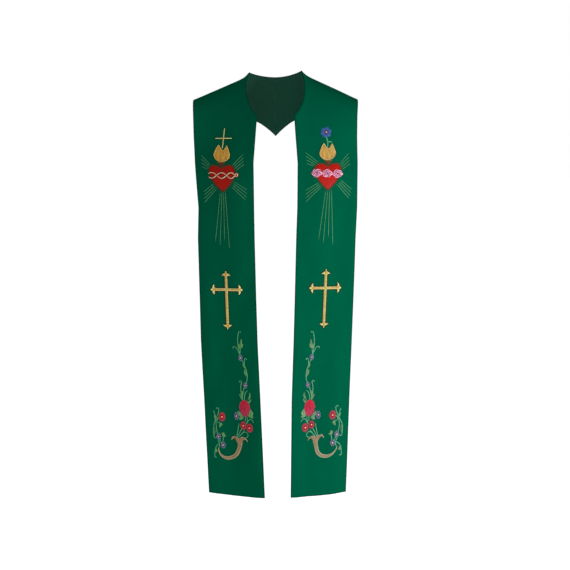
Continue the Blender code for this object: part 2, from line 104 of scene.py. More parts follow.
FOLDS = (
    ("left", 0.196, -0.130, 0.168, -0.520, 0.024, -0.0040),
    ("left", 0.120, -0.150, 0.118, -0.760, 0.034, 0.0030),
    ("left", 0.168, -0.560, 0.150, -1.300, 0.026, 0.0035),
    ("left", 0.085, -0.700, 0.078, -1.300, 0.022, -0.0030),
    ("right", 0.192, -0.120, 0.150, -0.430, 0.026, -0.0055),
    ("right", 0.110, -0.160, 0.102, -0.640, 0.030, 0.0030),
    ("right", 0.196, -0.420, 0.180, -0.900, 0.022, 0.0040),
    ("right", 0.130, -0.720, 0.118, -1.300, 0.030, -0.0030),
    ("right", 0.062, -0.640, 0.052, -1.300, 0.020, 0.0025),
)
FOLD_FADE = 0.30  # share of a fold in which each end dies away
RIPPLES_FROM, RIPPLES_OVER = -0.10, 0.10  # z where they begin, and how soon they are whole
RIPPLES = (  # unevenness of the hanging cloth: wave lengths across and along, height, phase
    (0.118, 0.310, 0.00055, 0.4),
    (0.071, 0.190, 0.00035, 2.1),
    (0.046, -0.123, 0.00018, 4.4),
)


def limited(share):
    """A share kept from 0 to 1."""
    return np.clip(share, 0.0, 1.0)


def ease(share):
    """0 to 1 with a level start and end."""
    share = limited(share)
    return share * share * (3.0 - 2.0 * share)


def fall_of(table):
    """Run, forward reach and drop along an arch that starts level and follows slopes."""
    run = np.arange(0.0, table["run"][-1] + FALL_STEP, FALL_STEP)
    slope = np.radians(np.interp(run, table["run"], table["slope"]))
    half = FALL_SOFTENING // 2
    rise_in = np.linspace(-slope[half], slope[0], half)
    padded = np.concatenate([rise_in, slope, np.repeat(slope[-1], half)])
    slope = np.convolve(padded, np.ones(FALL_SOFTENING) / FALL_SOFTENING, "valid")
    slope -= slope[0]
    middle = (slope[1:] + slope[:-1]) / 2.0
    reach = np.concatenate([[0.0], np.cumsum(np.cos(middle) * FALL_STEP)])
    drop = np.concatenate([[0.0], np.cumsum(np.sin(middle) * FALL_STEP)])
    return run, reach, drop


FRONT = fall_of(FRONT_FALL)
BACK = fall_of(BACK_FALL)


def ridge_height(x, side):
    """Height of the shoulder line at a distance x from the middle, on one side."""
    rise = NECK_RISE / (1.0 + np.exp((x - NECK_RISE_X) / NECK_RISE_FADE))
    tilt = np.interp(x, SHOULDER_TILT["x"], SHOULDER_TILT["height"]) * SIDES[side]
    return RIDGE_TOP - SHOULDER_SLOPE * np.hypot(x, RIDGE_ROUND) + rise + tilt


def set_back(x, radius):
    """How far a form that is round in plan lies behind its middle at x."""
    return radius - np.sqrt(radius * radius - x * x)


def front_depth(x, down):
    """How far the front lies behind its middle: round over the chest, flat where it hangs."""
    rounded = set_back(x, CHEST_RADIUS) * ease(down / CHEST_ROUNDS_OVER)
    flat = PANEL_TURN * (x - PANEL_FRONT_X)
    first, last = PANEL_FLATTENS
    return rounded + (flat - rounded) * ease((down - first) / (last - first))


def fold_height(x, z, side):
    """Height of the soft folds and ripples over the form of one front band."""
    total = np.zeros_like(x)
    for row in FOLDS:
        fold = dict(zip(FOLD_COLUMNS, row))
        if fold["side"] != side:
            continue
        along = (z - fold["top_z"]) / (fold["low_z"] - fold["top_z"])
        fade = ease(along / FOLD_FADE) * ease((1.0 - along) / FOLD_FADE)
        centre = fold["top_x"] + (fold["low_x"] - fold["top_x"]) * along
        total += fold["height"] * fade * np.exp(-(((x - centre) / fold["half_width"]) ** 2))
    for across, along, height, phase in RIPPLES:
        turn = 2.0 * pi * (x / across + z / along) + phase * SIDES[side]
        total += height * np.sin(turn) * ease((RIPPLES_FROM - z) / RIPPLES_OVER)
    return total


def form_point(x, run, side):
    """Points of the worn form; run goes down the front, or down the back if negative."""
    down = np.abs(run)
    top = ridge_height(x, side)
    front_z = top - np.interp(down, FRONT[0], FRONT[2])
    front_y = front_depth(x, down) - np.interp(down, FRONT[0], FRONT[1])
    front_y = front_y - fold_height(x, front_z, side)
    back_z = top - np.interp(down, BACK[0], BACK[2])
    back_y = np.interp(down, BACK[0], BACK[1])
    back_y = back_y - set_back(x, BACK_RADIUS) * ease(down / BACK_ROUNDS_OVER)
    y, z = np.where(run >= 0.0, (front_y, front_z), (back_y, back_z))
    return np.stack([x * SIDES[side], y, z], axis=-1)


def run_at(x, z, side, fall=FRONT):
    """How far down the front, or another fall, the form reaches height z."""
    return np.interp(ridge_height(x, side) - z, fall[2], fall[0])


def on_band(x, z, height, side):
    """Points at a height over the form's front, at places that are seen from the front."""
    here = form_point(x, run_at(x, z, side), side)
    across = form_point(x + NORMAL_STEP, run_at(x + NORMAL_STEP, z, side), side) - here
    down = form_point(x, run_at(x, z - NORMAL_STEP, side), side) - here
    normal = np.cross(down, across) * SIDES[side]
    normal /= np.linalg.norm(normal, axis=1, keepdims=True)
    return here + normal * height[:, None]


# ---------------------------------------------------------------- settings
def length_setting(name, about, default):
    """A setting in metres."""
    return FloatProperty(name=name, description=about, default=default, unit="LENGTH")


def colour_setting(name, about, default):
    """A setting that is a colour."""
    return FloatVectorProperty(name=name, description=about, default=default, subtype="COLOR")


class StoleClothSettings(bpy.types.PropertyGroup):
    """Sizes and colours of the cloth."""

    wall: length_setting("Thickness", "Face cloth, interlining and lining together", 0.002)
    rows: IntProperty(name="Rows", description="Faces along a half", default=330)
    columns: IntProperty(name="Columns", description="Faces across a half", default=46)
    edge_roll: length_setting("Edge Roll", "Rounding of the turned edges", 0.0009)
    allowance: length_setting("Seam Allowance", "Width of the cloth turned in along the edges", 0.013)
    allowance_height: length_setting("Allowance Height", "How much it lifts the face", 0.00022)
    # The darker strip is painted shade, where the cloth rolls away at its edges.
    edge_shade_width: length_setting("Dark Edge", "Width of the darker strip along the edges", 0.0050)
    face: colour_setting("Face Colour", "Colour of the face cloth", (0.000, 0.070, 0.034))
    lining: colour_setting("Lining Colour", "Colour of the inside", (0.001, 0.052, 0.028))
    weave: length_setting("Weave", "Distance from rib to rib of the twill", 0.0009)


class StoleThreadSettings(bpy.types.PropertyGroup):
    """Sizes of the embroidery."""

    pitch: length_setting("Thread Pitch", "Distance from one satin thread to the next", 0.00075)
    pad: length_setting("Padding", "Height of a stitched patch over the cloth", 0.0010)
    ridge: length_setting("Thread Relief", "Depth of the groove between two threads", 0.00022)


THREAD_COLOURS = {  # setting: where its thread is used, and its colour
    "gold": ("Crosses", (0.560, 0.350, 0.035)),
    "amber": ("Flames", (0.500, 0.290, 0.045)),
    # Its light tips on the crosses are painted highlights.
    "pale_gold": ("Light tips", (0.840, 0.740, 0.330)),
    "brown": ("Outlines of gold", (0.012, 0.016, 0.004)),
    "red": ("Hearts", (0.345, 0.005, 0.001)),
    "dark_red": ("Heart outline", (0.045, 0.010, 0.004)),
    "cream": ("Thorn twist", (0.680, 0.370, 0.240)),
    "pink": ("Rose garland", (0.700, 0.360, 0.440)),
    "lilac": ("Hearts of the roses", (0.400, 0.090, 0.220)),
    "blue": ("Blue flowers", (0.030, 0.080, 0.270)),
    "violet": ("Small flowers", (0.140, 0.150, 0.240)),
    "crimson": ("Large rose", (0.340, 0.006, 0.012)),
    "scarlet": ("Red flowers", (0.350, 0.020, 0.042)),
    "magenta": ("Foot of the rose", (0.520, 0.034, 0.110)),
    "orchid": ("Lines of the garland", (0.220, 0.030, 0.170)),
    "indigo": ("Gaps of the violets", (0.012, 0.030, 0.050)),
    "rose_rim": ("Light rims of petals", (0.450, 0.080, 0.110)),
    "umber": ("Outline of the horn", (0.040, 0.040, 0.012)),
    "bark": ("Heart outline", (0.050, 0.034, 0.010)),
    "cleft": ("Between heart and flame", (0.085, 0.035, 0.016)),
    "straw": ("Rim of the flame", (0.620, 0.440, 0.130)),
    "ochre": ("Inner lines of gold", (0.400, 0.180, 0.015)),
    "moss": ("Outline of the crosses", (0.010, 0.022, 0.006)),
    "apricot": ("Eyes of red flowers", (1.000, 0.430, 0.170)),
    "blush": ("Eyes of the violets", (0.800, 0.600, 0.620)),
    "cerise": ("Top of the rose", (0.420, 0.010, 0.022)),
    "pumpkin": ("Dark flame threads", (0.750, 0.270, 0.040)),
    "shade": ("Between the rays", (0.001, 0.040, 0.016)),
    "plum": ("Eyes of the violets", (0.120, 0.015, 0.040)),
    "rust": ("Lines in the gold", (0.200, 0.085, 0.010)),
    "old_gold": ("Crest cross", (0.520, 0.715, 0.335)),
    "leaf": ("Leaves", (0.115, 0.290, 0.105)),
    "stem": ("Stems and tendrils", (0.072, 0.290, 0.135)),
    "ray": ("Rays", (0.045, 0.232, 0.105)),
    "tan": ("Horn of plenty", (0.300, 0.180, 0.088)),
    "light_tan": ("Edges of the horn", (0.360, 0.380, 0.220)),
}


class StoleThreadColours(bpy.types.PropertyGroup):
    """Colours of the embroidery threads."""

    __annotations__ = {
        key: colour_setting(key.replace("_", " ").title(), use, colour)
        for key, (use, colour) in THREAD_COLOURS.items()
    }


class StoleStageSettings(bpy.types.PropertyGroup):
    """Camera, lights and floor."""

    distance: length_setting("Camera Distance", "From the aim point", 3.0)
    elevation: FloatProperty(
        name="Camera Elevation", description="Above the aim", default=radians(8.0), subtype="ANGLE"
    )
    roll: FloatProperty(
        name="Camera Roll", description="Tilt of the frame", default=radians(-0.3), subtype="ANGLE"
    )
    lens: FloatProperty(name="Lens", description="Focal length in millimetres", default=69.9)
    key: FloatProperty(name="Key Light", description="Power of the key", default=29.0, unit="POWER")
    fill: FloatProperty(name="Fill Light", description="Power of the fill", default=1.5, unit="POWER")
    sky: FloatProperty(name="Surround", description="Strength of the white surround", default=0.56)
    floor_drop: length_setting("Floor Drop", "Floor below the hem", 0.16)


def settings(name):
    """One group of settings of the scene."""
    return getattr(bpy.context.scene, "stole_" + name)


# ---------------------------------------------------------------- shader maths
def math_operators(operation):
    """A Python operator and its reflected form, as a Math node."""
    return (
        lambda self, other: self.math(operation, self, other),
        lambda self, other: self.math(operation, other, self),
    )


class Socket:
    """An output socket that Python's operators can reckon with."""

    def __init__(self, nodes, out):
        self.nodes = nodes
        self.out = out

    def math(self, operation, *values):
        """What a Math node makes of some values."""
        return self.nodes.add("ShaderNodeMath", {"operation": operation}, dict(enumerate(values)))

    __add__, __radd__ = math_operators("ADD")
    __sub__, __rsub__ = math_operators("SUBTRACT")
    __mul__, __rmul__ = math_operators("MULTIPLY")

    def sine(self):
        return self.math("SINE", self)

    def floor(self):
        return self.math("FLOOR", self)

    def limited(self):
        """Kept from 0 to 1."""
        return self.math("MINIMUM", self.math("MAXIMUM", self, 0.0), 1.0)


class Nodes:
    """The node tree of a new material with one Principled shader."""

    def __init__(self, name):
        self.material = bpy.data.materials.new(name)
        self.material.use_nodes = True
        self.tree = self.material.node_tree
        self.shader = self.tree.nodes["Principled BSDF"]

    def add(self, kind, choices=None, values=None, output=0):
        """An output of a new node, with its choices made and its sockets fed."""
        node = self.tree.nodes.new(kind)
        for name, value in (choices or {}).items():
            setattr(node, name, value)
        for name, value in (values or {}).items():
            self.feed(node.inputs[name], value)
        return Socket(self, node.outputs[output])

    def feed(self, socket, value):
        """Gives an input socket a link, a colour or a number."""
        if isinstance(value, Socket):
            self.tree.links.new(value.out, socket)
        elif hasattr(value, "__len__") and socket.type == "RGBA":
            socket.default_value = (*value[:3], 1.0)
        else:
            socket.default_value = value

    def set(self, name, value):
        """Feeds an input of the shader."""
        self.feed(self.shader.inputs[name], value)

    def mix(self, factor, first, second):
        """A colour between two colours."""
        values = {"Factor": factor, 6: first, 7: second}
        return self.add("ShaderNodeMix", {"data_type": "RGBA"}, values, output=2)

    def noise(self, vector, scale, detail=2.0):
        values = {"Vector": vector, "Scale": scale, "Detail": detail}
        return self.add("ShaderNodeTexNoise", values=values)

    def plane(self, x, y):
        """A vector with two parts."""
        return self.add("ShaderNodeCombineXYZ", values={"X": x, "Y": y})

    def attribute(self, name):
        """The three parts of a vector attribute."""
        vector = self.add("ShaderNodeAttribute", {"attribute_name": name}, output=1)
        parts = self.tree.nodes.new("ShaderNodeSeparateXYZ")
        self.feed(parts.inputs[0], vector)
        return [Socket(self, out) for out in parts.outputs]

    def bump(self, height, strength, distance):
        values = {"Height": height, "Strength": strength, "Distance": distance}
        return self.add("ShaderNodeBump", values=values)


CLOTH_MIX = {"mottle": 0.55, "slub": 0.30, "twill": 0.15}  # what makes its tone
# edge is painted shade along the edges of the cloth, where it rolls away.
CLOTH_SHADES = {"low": 0.84, "high": 1.17, "edge": 0.50}  # of its colour
EDGE_SHADE_STRENGTH = 0.80
# groove and ends darken the threads as painted shade; number varies them at random.
THREAD_MIX = {"number": 0.30, "groove": 0.35, "ends": 0.25}  # what its tone changes by
THREAD_SHADES = {"light": 1.15, "dark": 0.55}
THREAD_ROUGHNESS, THREAD_SHINE = 0.41, 0.08


def shade(colour, amount):
    """A colour made darker or lighter."""
    return tuple(min(1.0, channel * amount) for channel in colour)


def cloth_material(name, colour, roughness, specular):
    """Fine twill with a soft mottle and painted shade along the edges; its pattern follows the cloth."""
    weave = settings("cloth").weave
    nodes = Nodes(name)
    across, along, edge = nodes.attribute("cloth")
    mottle = nodes.noise(nodes.plane(across, along), 9.0, 3.0)
    slub = nodes.noise(nodes.plane(across * 900.0, along * 60.0), 1.0)
    twill = ((across + along) * (2.0 * pi / weave)).sine() * 0.5 + 0.5
    mix = CLOTH_MIX
    tone = (mottle * mix["mottle"] + slub * mix["slub"] + twill * mix["twill"]).limited()
    low, high, dark = (shade(colour, CLOTH_SHADES[part]) for part in ("low", "high", "edge"))
    # Darker along the edges: painted shade where the cloth rolls away.
    nodes.set("Base Color", nodes.mix(edge * EDGE_SHADE_STRENGTH, nodes.mix(tone, low, high), dark))
    nodes.set("Roughness", mottle * 0.12 + (roughness - 0.06))
    nodes.set("Specular IOR Level", specular)
    nodes.set("Normal", nodes.bump(twill * 0.6 + slub * 0.5, 0.35, 0.00012))
    return nodes.material


def thread_material(name, light, dark):
    """Satin threads: each a little lighter or darker at random, with painted shade in the grooves and at
    the ends.
    """
    nodes = Nodes(name)
    thread, share, tone = nodes.attribute("stitch")
    number = nodes.add("ShaderNodeTexWhiteNoise", {"noise_dimensions": "1D"}, {"W": thread.floor()})
    groove = (thread * pi).sine()
    tone += (number - 0.5) * THREAD_MIX["number"]
    # Painted shade in the grooves between threads.
    tone += (groove * groove - 0.6) * THREAD_MIX["groove"]
    # Painted shade at both ends, where the threads go under.
    tone += ((share * pi).sine() - 0.8) * THREAD_MIX["ends"]
    nodes.set("Base Color", nodes.mix(tone.limited(), dark, light))
    nodes.set("Roughness", number * 0.10 + THREAD_ROUGHNESS)
    nodes.set("Specular IOR Level", THREAD_SHINE)
    fibre = nodes.noise(nodes.plane(thread * 5.0, share * 9.0), 1.0)
    nodes.set("Normal", nodes.bump(fibre, 0.25, 0.00010))
    return nodes.material


# ---------------------------------------------------------------- pieces
def mesh_of(name, bm, materials):
    """The mesh of a finished bmesh."""
    mesh = bpy.data.meshes.new(name)
    bm.to_mesh(mesh)
    bm.free()
    for material in materials:
        mesh.materials.append(material)
    return mesh


def placed(name, data):
    """A new object in the scene."""
    thing = bpy.data.objects.new(name, data)
    bpy.context.collection.objects.link(thing)
    return thing


def new_piece(name, bm, materials, slot, *nodes):
    """Makes the finished piece of a bmesh, which rides on the body."""
    mesh = mesh_of(name, bm, materials)
    mesh.shade_smooth()
    piece = placed(name, mesh)
    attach(piece, BODY)
    if nodes:
        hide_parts(*nodes)
    return piece


def neck_edge(station, side):
    """x and run of the inner edge: nape at 0, shoulder at 1, end of neck curve at 2, hem at 3."""
    turn = limited(station) * pi / 2.0
    nape_x = NECK_X * np.sin(turn)
    shoulder_z = float(ridge_height(NECK_X, side))
    nape_z = NAPE_Z + (shoulder_z - NAPE_Z) * np.sin(turn) ** 2
    nape_run = -run_at(nape_x, nape_z, side, BACK)
    centre_x, centre_z = NECK_ARC["centre_x"], NECK_ARC["centre_z"]
    first = atan2(-centre_z, NECK_X - centre_x)
    last = atan2(NECK_ARC["end_z"] - centre_z, NECK_ARC["end_x"] - centre_x)
    radius = hypot(NECK_X - centre_x, centre_z)
    angle = first + (last - first) * limited(station - 1.0)
    arc_x = centre_x + radius * np.cos(angle)
    arc_run = run_at(arc_x, centre_z + radius * np.sin(angle), side)
    z = NECK_ARC["end_z"] + (HEM_Z - NECK_ARC["end_z"]) * limited(station - 2.0)
    hang_x = np.interp(z, BAND_EDGES["z"], BAND_EDGES["inner_" + side])
    stretches = [station <= 1.0, station <= 2.0]
    x = np.select(stretches, [nape_x, arc_x], hang_x)
    run = np.select(stretches, [nape_run, arc_run], run_at(hang_x, z, side))
    return x, run


def outer_edge(station, side):
    """x and run of the outer edge: low point of the back at 0, shoulder at 1, hem at 3."""
    back_x = SHOULDER_X * limited(station)
    back_run = -BACK_POINT_RUN * (1.0 - limited(station))
    shoulder_z = float(ridge_height(SHOULDER_X, side))
    z = np.interp(station, (1.0, 2.0, 3.0), (shoulder_z, OUTER_Z_AT_NECK_END, HEM_Z))
    front_x = np.interp(z, BAND_EDGES["z"], BAND_EDGES["outer_" + side])
    x = np.where(station <= 1.0, back_x, front_x)
    run = np.where(station <= 1.0, back_run, run_at(front_x, z, side))
    return x, run


def hem_slack(across, side):
    """Extra run of the hem between its corners, which makes it level but for its small curve."""
    inner_x, inner_run = neck_edge(np.array([3.0]), side)
    outer_x, outer_run = outer_edge(np.array([3.0]), side)
    x = inner_x + (outer_x - inner_x) * across
    z = HEM_Z - HEM_CURVE * 4.0 * across * (1.0 - across)
    return run_at(x, z, side) - inner_run - (outer_run - inner_run) * across


ROW_SHARES = {"back": 0.22, "neck": 0.18}  # of the rows; the others hang
ROW_CROWDING = {"back": 1.35, "neck": 1.70}  # towards the shoulder
COLUMN_CROWDING = 0.085  # towards the edges


def stations(count):
    """Where the rows lie along a half, closer together over the shoulder."""
    back, neck = (ceil(count * share) for share in ROW_SHARES.values())
    hang = count - back - neck
    rows = [
        1.0 - (1.0 - np.arange(back) / back) ** ROW_CROWDING["back"],
        1.0 + (np.arange(neck) / neck) ** ROW_CROWDING["neck"],
        2.0 + np.arange(hang + 1) / hang,
    ]
    return np.concatenate(rows)


def across_shares(count):
    """Where the columns lie across a half, closer together along the edges."""
    even = np.linspace(0.0, 1.0, count + 1)
    return even - np.sin(2.0 * pi * even) * COLUMN_CROWDING


ALLOWANCE_SLOPES = {"inner": 0.003, "outer": 0.004}  # how wide its two slopes are
SEAM_FLAT = 0.010  # the strip along the seam at the nape that stays flat


def make_cloth_half(side):
    """One half of the stole, with its turned edges and a lined inside."""
    cloth = settings("cloth")
    rows, shares = stations(cloth.rows), across_shares(cloth.columns)
    bm = bmesh.new()
    layer = bm.verts.layers.float_vector.new("cloth")
    segments = len(rows) - 1, len(shares) - 1
    grid = bmesh.ops.create_grid(bm, x_segments=segments[0], y_segments=segments[1], size=0.5)
    flat = np.array([vert.co for vert in grid["verts"]]) + 0.5
    row, column = np.rint(flat[:, :2] * segments).astype(int).T
    neck_x, neck_run = neck_edge(rows, side)
    outer_x, outer_run = outer_edge(rows, side)
    share = shares[column]
    x = neck_x[row] + (outer_x - neck_x)[row] * share
    run = neck_run[row] + (outer_run - neck_run)[row] * share
    run += hem_slack(share, side) * limited(rows[row] - 2.0) ** 2
    points = form_point(x, run, side)

    # Real distances on the cloth: across from the neck edge, along from the nape, to the edges.
    net = np.zeros((len(rows), len(shares), 3))
    net[row, column] = points
    across = np.cumsum(np.linalg.norm(np.diff(net, axis=1), axis=2), axis=1)
    across = np.concatenate([np.zeros((len(rows), 1)), across], axis=1)
    along = walked(net[:, len(shares) // 2])
    to_edge = np.minimum(across, across[:, -1:] - across)
    to_edge = np.minimum(to_edge, (along[-1] - along)[:, None])
    # Painted shade along the edges, where the cloth rolls away.
    edge_shade = 1.0 - ease(to_edge / cloth.edge_shade_width)
    lift = 1.0 - ease((to_edge - cloth.allowance) / ALLOWANCE_SLOPES["inner"])
    lift *= ease(to_edge / ALLOWANCE_SLOPES["outer"])
    lift *= ease((along - SEAM_FLAT) / (2.0 * SEAM_FLAT))[:, None]
    normal = np.cross(np.gradient(net, axis=0), np.gradient(net, axis=1)) * SIDES[side]
    normal /= np.linalg.norm(normal, axis=2, keepdims=True)
    net += normal * (lift * cloth.allowance_height)[:, :, None]
    net[0, :, 0] = 0.0
    for vert, i, j in zip(grid["verts"], row, column):
        vert.co = net[i, j]
        vert[layer] = (across[i, j], along[i], edge_shade[i, j])
    if SIDES[side] < 0:
        bmesh.ops.reverse_faces(bm, faces=bm.faces[:])

    materials = [bpy.data.materials["stole_" + name] for name in ("face", "lining")]
    piece = new_piece("cloth_half_" + side, bm, materials, "green_cloth", "half_" + side)
    wall = piece.modifiers.new("wall", "SOLIDIFY")
    wall.thickness = cloth.wall
    wall.offset = 1.0
    wall.use_even_offset = True
    wall.material_offset = 1
    roll = piece.modifiers.new("roll", "BEVEL")
    roll.width = cloth.edge_roll
    roll.segments = 3
    roll.limit_method = "ANGLE"
    roll.angle_limit = radians(50.0)


# ---------------------------------------------------------------- stitches
STITCH_LENGTH = 0.0030  # of stem stitch
LINE_STEP = 0.0012  # from point to point of a line
TUCK = 0.0002  # how far the ends of threads go under
ENDS = 1e-4  # share of a thread that counts as its end
RAGGED = 0.7  # by how much the ends of satin threads differ, in distances between threads
FULL_RAGGED = 6.0  # length from which they differ by so much, in distances between threads
FULL_HEIGHT = 0.004  # length from which a patch stands to its full height
CROWN_SQUARENESS = 3.5  # how squarely a patch rises at the ends of its threads
SIDE_HEIGHT = 0.35  # of a patch, as share of its height
FILL_SHIFT = 0.382  # of the dips in a fill from thread to thread, in stitches
FILL_DIP = {"width": 0.16, "depth": 0.9}  # in stitches and thread reliefs
STRAND_RELIEF = 0.18  # of stem stitch, as share of its height
PETAL_RISE, LEAF_RISE = 0.0010, 0.0008
LINES = {  # width, height, lift, number of its thread, tone, and share of it that each end takes
    "heart_outline": (0.0034, 0.0008, 0.0001, 1, 0.7, 0.0),
    "heart_collar": (0.0024, 0.0009, 0.0018, 3, 0.6, 0.15),
    "flame_outline": (0.0024, 0.0006, -0.0001, 3, 0.7, 0.0),
    "flame_rim": (0.0017, 0.0006, 0.0009, 2, 0.8, 0.0),
    "flame_vein": (0.0013, 0.0005, 0.0010, 2, 0.9, 0.4),
    "flame_curl": (0.0013, 0.0006, 0.0014, 2, 0.8, 0.5),
    "twist_cord": (0.0031, 0.0014, 0.0, 0, 0.72, 0.03),
    "twist_outline": (0.00651, 0.0004, -0.0004, 1, 0.7, 0.03),
    "garland_curl": (0.0018, 0.0008, 0.0, 0, 0.8, 0.2),
    "garland_shadow": (0.0012, 0.0004, 0.0, 2, 0.7, 0.2),
    "crest_outline": (0.0030, 0.0004, -0.0001, 1, 0.6, 0.0),
    "crest_petal": (0.0008, 0.0004, 0.0011, 1, 0.4, 0.15),
    "crest_stem": (0.0032, 0.0009, 0.0, 4, 0.7, 0.02),
    "crest_leaf": (0.0030, 0.0008, 0.0, 4, 0.7, 0.3),
    "cross_outline": (0.0031, 0.0006, -0.0001, 1, 0.5, 0.0),
    "cross_spot": (0.0030, 0.0004, 0.0013, 2, 0.9, 0.4),
    "cross_vein": (0.0017, 0.0003, 0.0013, 2, 0.5, 0.05),
    "ray": (0.0018, 0.0006, 0.0, 0, 0.7, 0.10),
    "ray_shadow": (0.0016, 0.0003, -0.0001, 1, 0.7, 0.10),
    "rose_rim": (0.0010, 0.0004, 0.0006, 2, 0.7, 0.15),
    "rose_fold": (0.0010, 0.0004, 0.0006, 1, 0.7, 0.15),
    "red_petal": (0.0010, 0.0004, 0.0009, 3, 0.8, 0.15),
    "horn_edge": (0.0022, 0.0008, 0.0006, 1, 0.7, 0.3),
    "horn_outline": (0.0018, 0.0005, 0.0, 2, 0.7, 0.2),
    "lip_edge": (0.0018, 0.0008, 0.0011, 1, 0.7, 0.1),
    "lip_outline": (0.0014, 0.0006, 0.0002, 2, 0.7, 0.1),
    "stem": (0.0023, 0.0008, -0.0001, 0, 0.7, 0.06),
}


def scatter(number, seed):
    """Numbers from -0.5 to 0.5 that look random and are the same each time."""
    value = np.sin(number * 12.9898 + seed) * 43758.5453
    return value - np.floor(value) - 0.5


def stitched_grid(bm, across, along, shape, material):
    """A grid of faces whose points, thread numbers and tones are given by shape(u, v)."""
    layer = bm.verts.layers.float_vector["stitch"]
    grid = bmesh.ops.create_grid(bm, x_segments=across, y_segments=along, size=0.5)["verts"]
    flat = np.array([vert.co for vert in grid]) + 0.5
    points, thread, tone = shape(flat[:, 0], flat[:, 1])
    for vert, point, number, share, light in zip(grid, points, thread, flat[:, 1], tone):
        vert.co = point
        vert[layer] = (number, share, light)
    faces = list({face for vert in grid for face in vert.link_faces})
    for face in faces:
        face.normal_update()
        face.material_index = material
    if sum(face.normal.z * face.calc_area() for face in faces) < 0.0:
        bmesh.ops.reverse_faces(bm, faces=faces)


def tucked(v, height, under=0.0):
    """The height, but for both ends of v, which go just under the work."""
    return np.where((v < ENDS) | (v > 1.0 - ENDS), under - TUCK, height)


def walked(points):
    """The distance along a path at each of its points."""
    return np.concatenate([[0.0], np.cumsum(np.linalg.norm(np.diff(points, axis=0), axis=1))])


def round_about(angle):
    """The directions at some angles."""
    return np.column_stack([np.cos(angle), np.sin(angle)])


def heading(start, end):
    """The length from one place to another, the direction, and the direction to its left."""
    length = np.linalg.norm(end - start)
    ahead = (end - start) / length
    return length, ahead, np.array([-ahead[1], ahead[0]])


def satin(bm, near, far, width, tone, rise=None, lift=0.0, material=0, along=6, fill=None):
    """Threads side by side from one rail to the other. width is measured across the threads.

    A long patch is a fill: its threads dip where each stitch of that length ends."""
    sizes = settings("thread")
    threads = max(3, round(width / sizes.pitch))
    rise = sizes.pad if rise is None else rise
    ragged = scatter(np.arange(threads + 2), width * 4000.0) * sizes.pitch * RAGGED
    tones = tone if callable(tone) else lambda u, v: np.full_like(u, tone)

    def shape(u, v):
        start = near(u)
        reach = far(u) - start
        length = np.maximum(np.linalg.norm(reach, axis=1), 1e-6)
        number = np.clip(np.floor(u * threads), 0, threads - 1).astype(int)
        slack = np.minimum(1.0, length / (sizes.pitch * FULL_RAGGED))
        stretch = (v - 0.5) * 2.0 * ragged[number] * slack / length
        crown = 1.0 - np.abs(2.0 * v - 1.0) ** CROWN_SQUARENESS
        side = 1.0 - np.abs(2.0 * u - 1.0) ** max(8.0, threads / 2.0)
        height = rise * crown * (SIDE_HEIGHT + (1.0 - SIDE_HEIGHT) * side)
        height *= np.minimum(1.0, length / FULL_HEIGHT)
        height += sizes.ridge * np.sin(pi * u * threads) ** 2 * np.minimum(crown * 3.0, 1.0)
        if fill:
            place = v * length / fill + (number * FILL_SHIFT) % 1.0
            dip = np.exp(-(((place % 1.0) - 0.5) / FILL_DIP["width"]) ** 2)
            height -= dip * sizes.ridge * FILL_DIP["depth"]
        point = start + reach * (v + stretch)[:, None]
        return np.column_stack([point, tucked(v, height + lift)]), u * threads, tones(u, v)

    stitched_grid(bm, threads * 2, along, shape, material)


def rail(points):
    """A straight-sided rail through points, evenly measured along its length."""
    points = np.array(points, float)
    walk = walked(points)
    walk /= walk[-1]
    return lambda u: np.column_stack([np.interp(u, walk, points[:, k]) for k in (0, 1)])


def even_line(points, count):
    """Evenly spaced points along straight pieces."""
    return rail(points)(np.linspace(0.0, 1.0, count))


def bunched(count):
    """Shares from 0 to 1, closer together at both ends."""
    return 0.5 - 0.5 * np.cos(pi * np.linspace(0.0, 1.0, count))


def smooth_path(points, count=None):
    """A soft curve through points, as evenly spaced points."""
    points = np.array(points, float)
    held = np.vstack([2 * points[0] - points[1], points, 2 * points[-1] - points[-2]])
    share = np.linspace(0.0, 1.0, 12, endpoint=False)[:, None]
    runs = []
    for a, b, c, d in zip(held, held[1:], held[2:], held[3:]):
        bend = 2 * a - 5 * b + 4 * c - d
        twist = 3 * b - a - 3 * c + d
        runs.append(0.5 * (2 * b + (c - a) * share + bend * share**2 + twist * share**3))
    fine = np.vstack(runs + [points[-1:]])
    return even_line(fine, (count or max(4, round(walked(fine)[-1] / LINE_STEP))) + 1)


def stem_stitch(bm, path, line, over=0.0):
    """A line of slanted stitches along a path, which may run over other work."""
    width, rise, lift, material, tone, taper = LINES[line]
    path = np.asarray(path, float)
    tangent = np.gradient(path, axis=0)
    tangent /= np.maximum(np.linalg.norm(tangent, axis=1, keepdims=True), 1e-9)
    beside = np.column_stack([-tangent[:, 1], tangent[:, 0]])
    strands = walked(path) / STITCH_LENGTH
    last = len(path) - 1
    heights = np.broadcast_to(over + lift, len(path))

    def shape(u, v):
        here = np.rint(u * last).astype(int)
        near_end = np.minimum(u, 1.0 - u) / max(taper, 1e-6)
        narrow = np.ones_like(u) if taper == 0 else 0.25 + 0.75 * np.sqrt(limited(near_end))
        out = (v - 0.5) * width * narrow
        strand = strands[here] + v * 0.5
        height = rise * np.sqrt(np.maximum(0.0, 1.0 - (2.0 * v - 1.0) ** 2))
        height = height * narrow * (1.0 + STRAND_RELIEF * np.sin(2.0 * pi * strand)) + heights[here]
        point = path[here] + beside[here] * out[:, None]
        height = tucked(v, height, heights[here])
        return np.column_stack([point, height]), strand, np.full_like(u, tone)

    stitched_grid(bm, last, 4, shape, material)


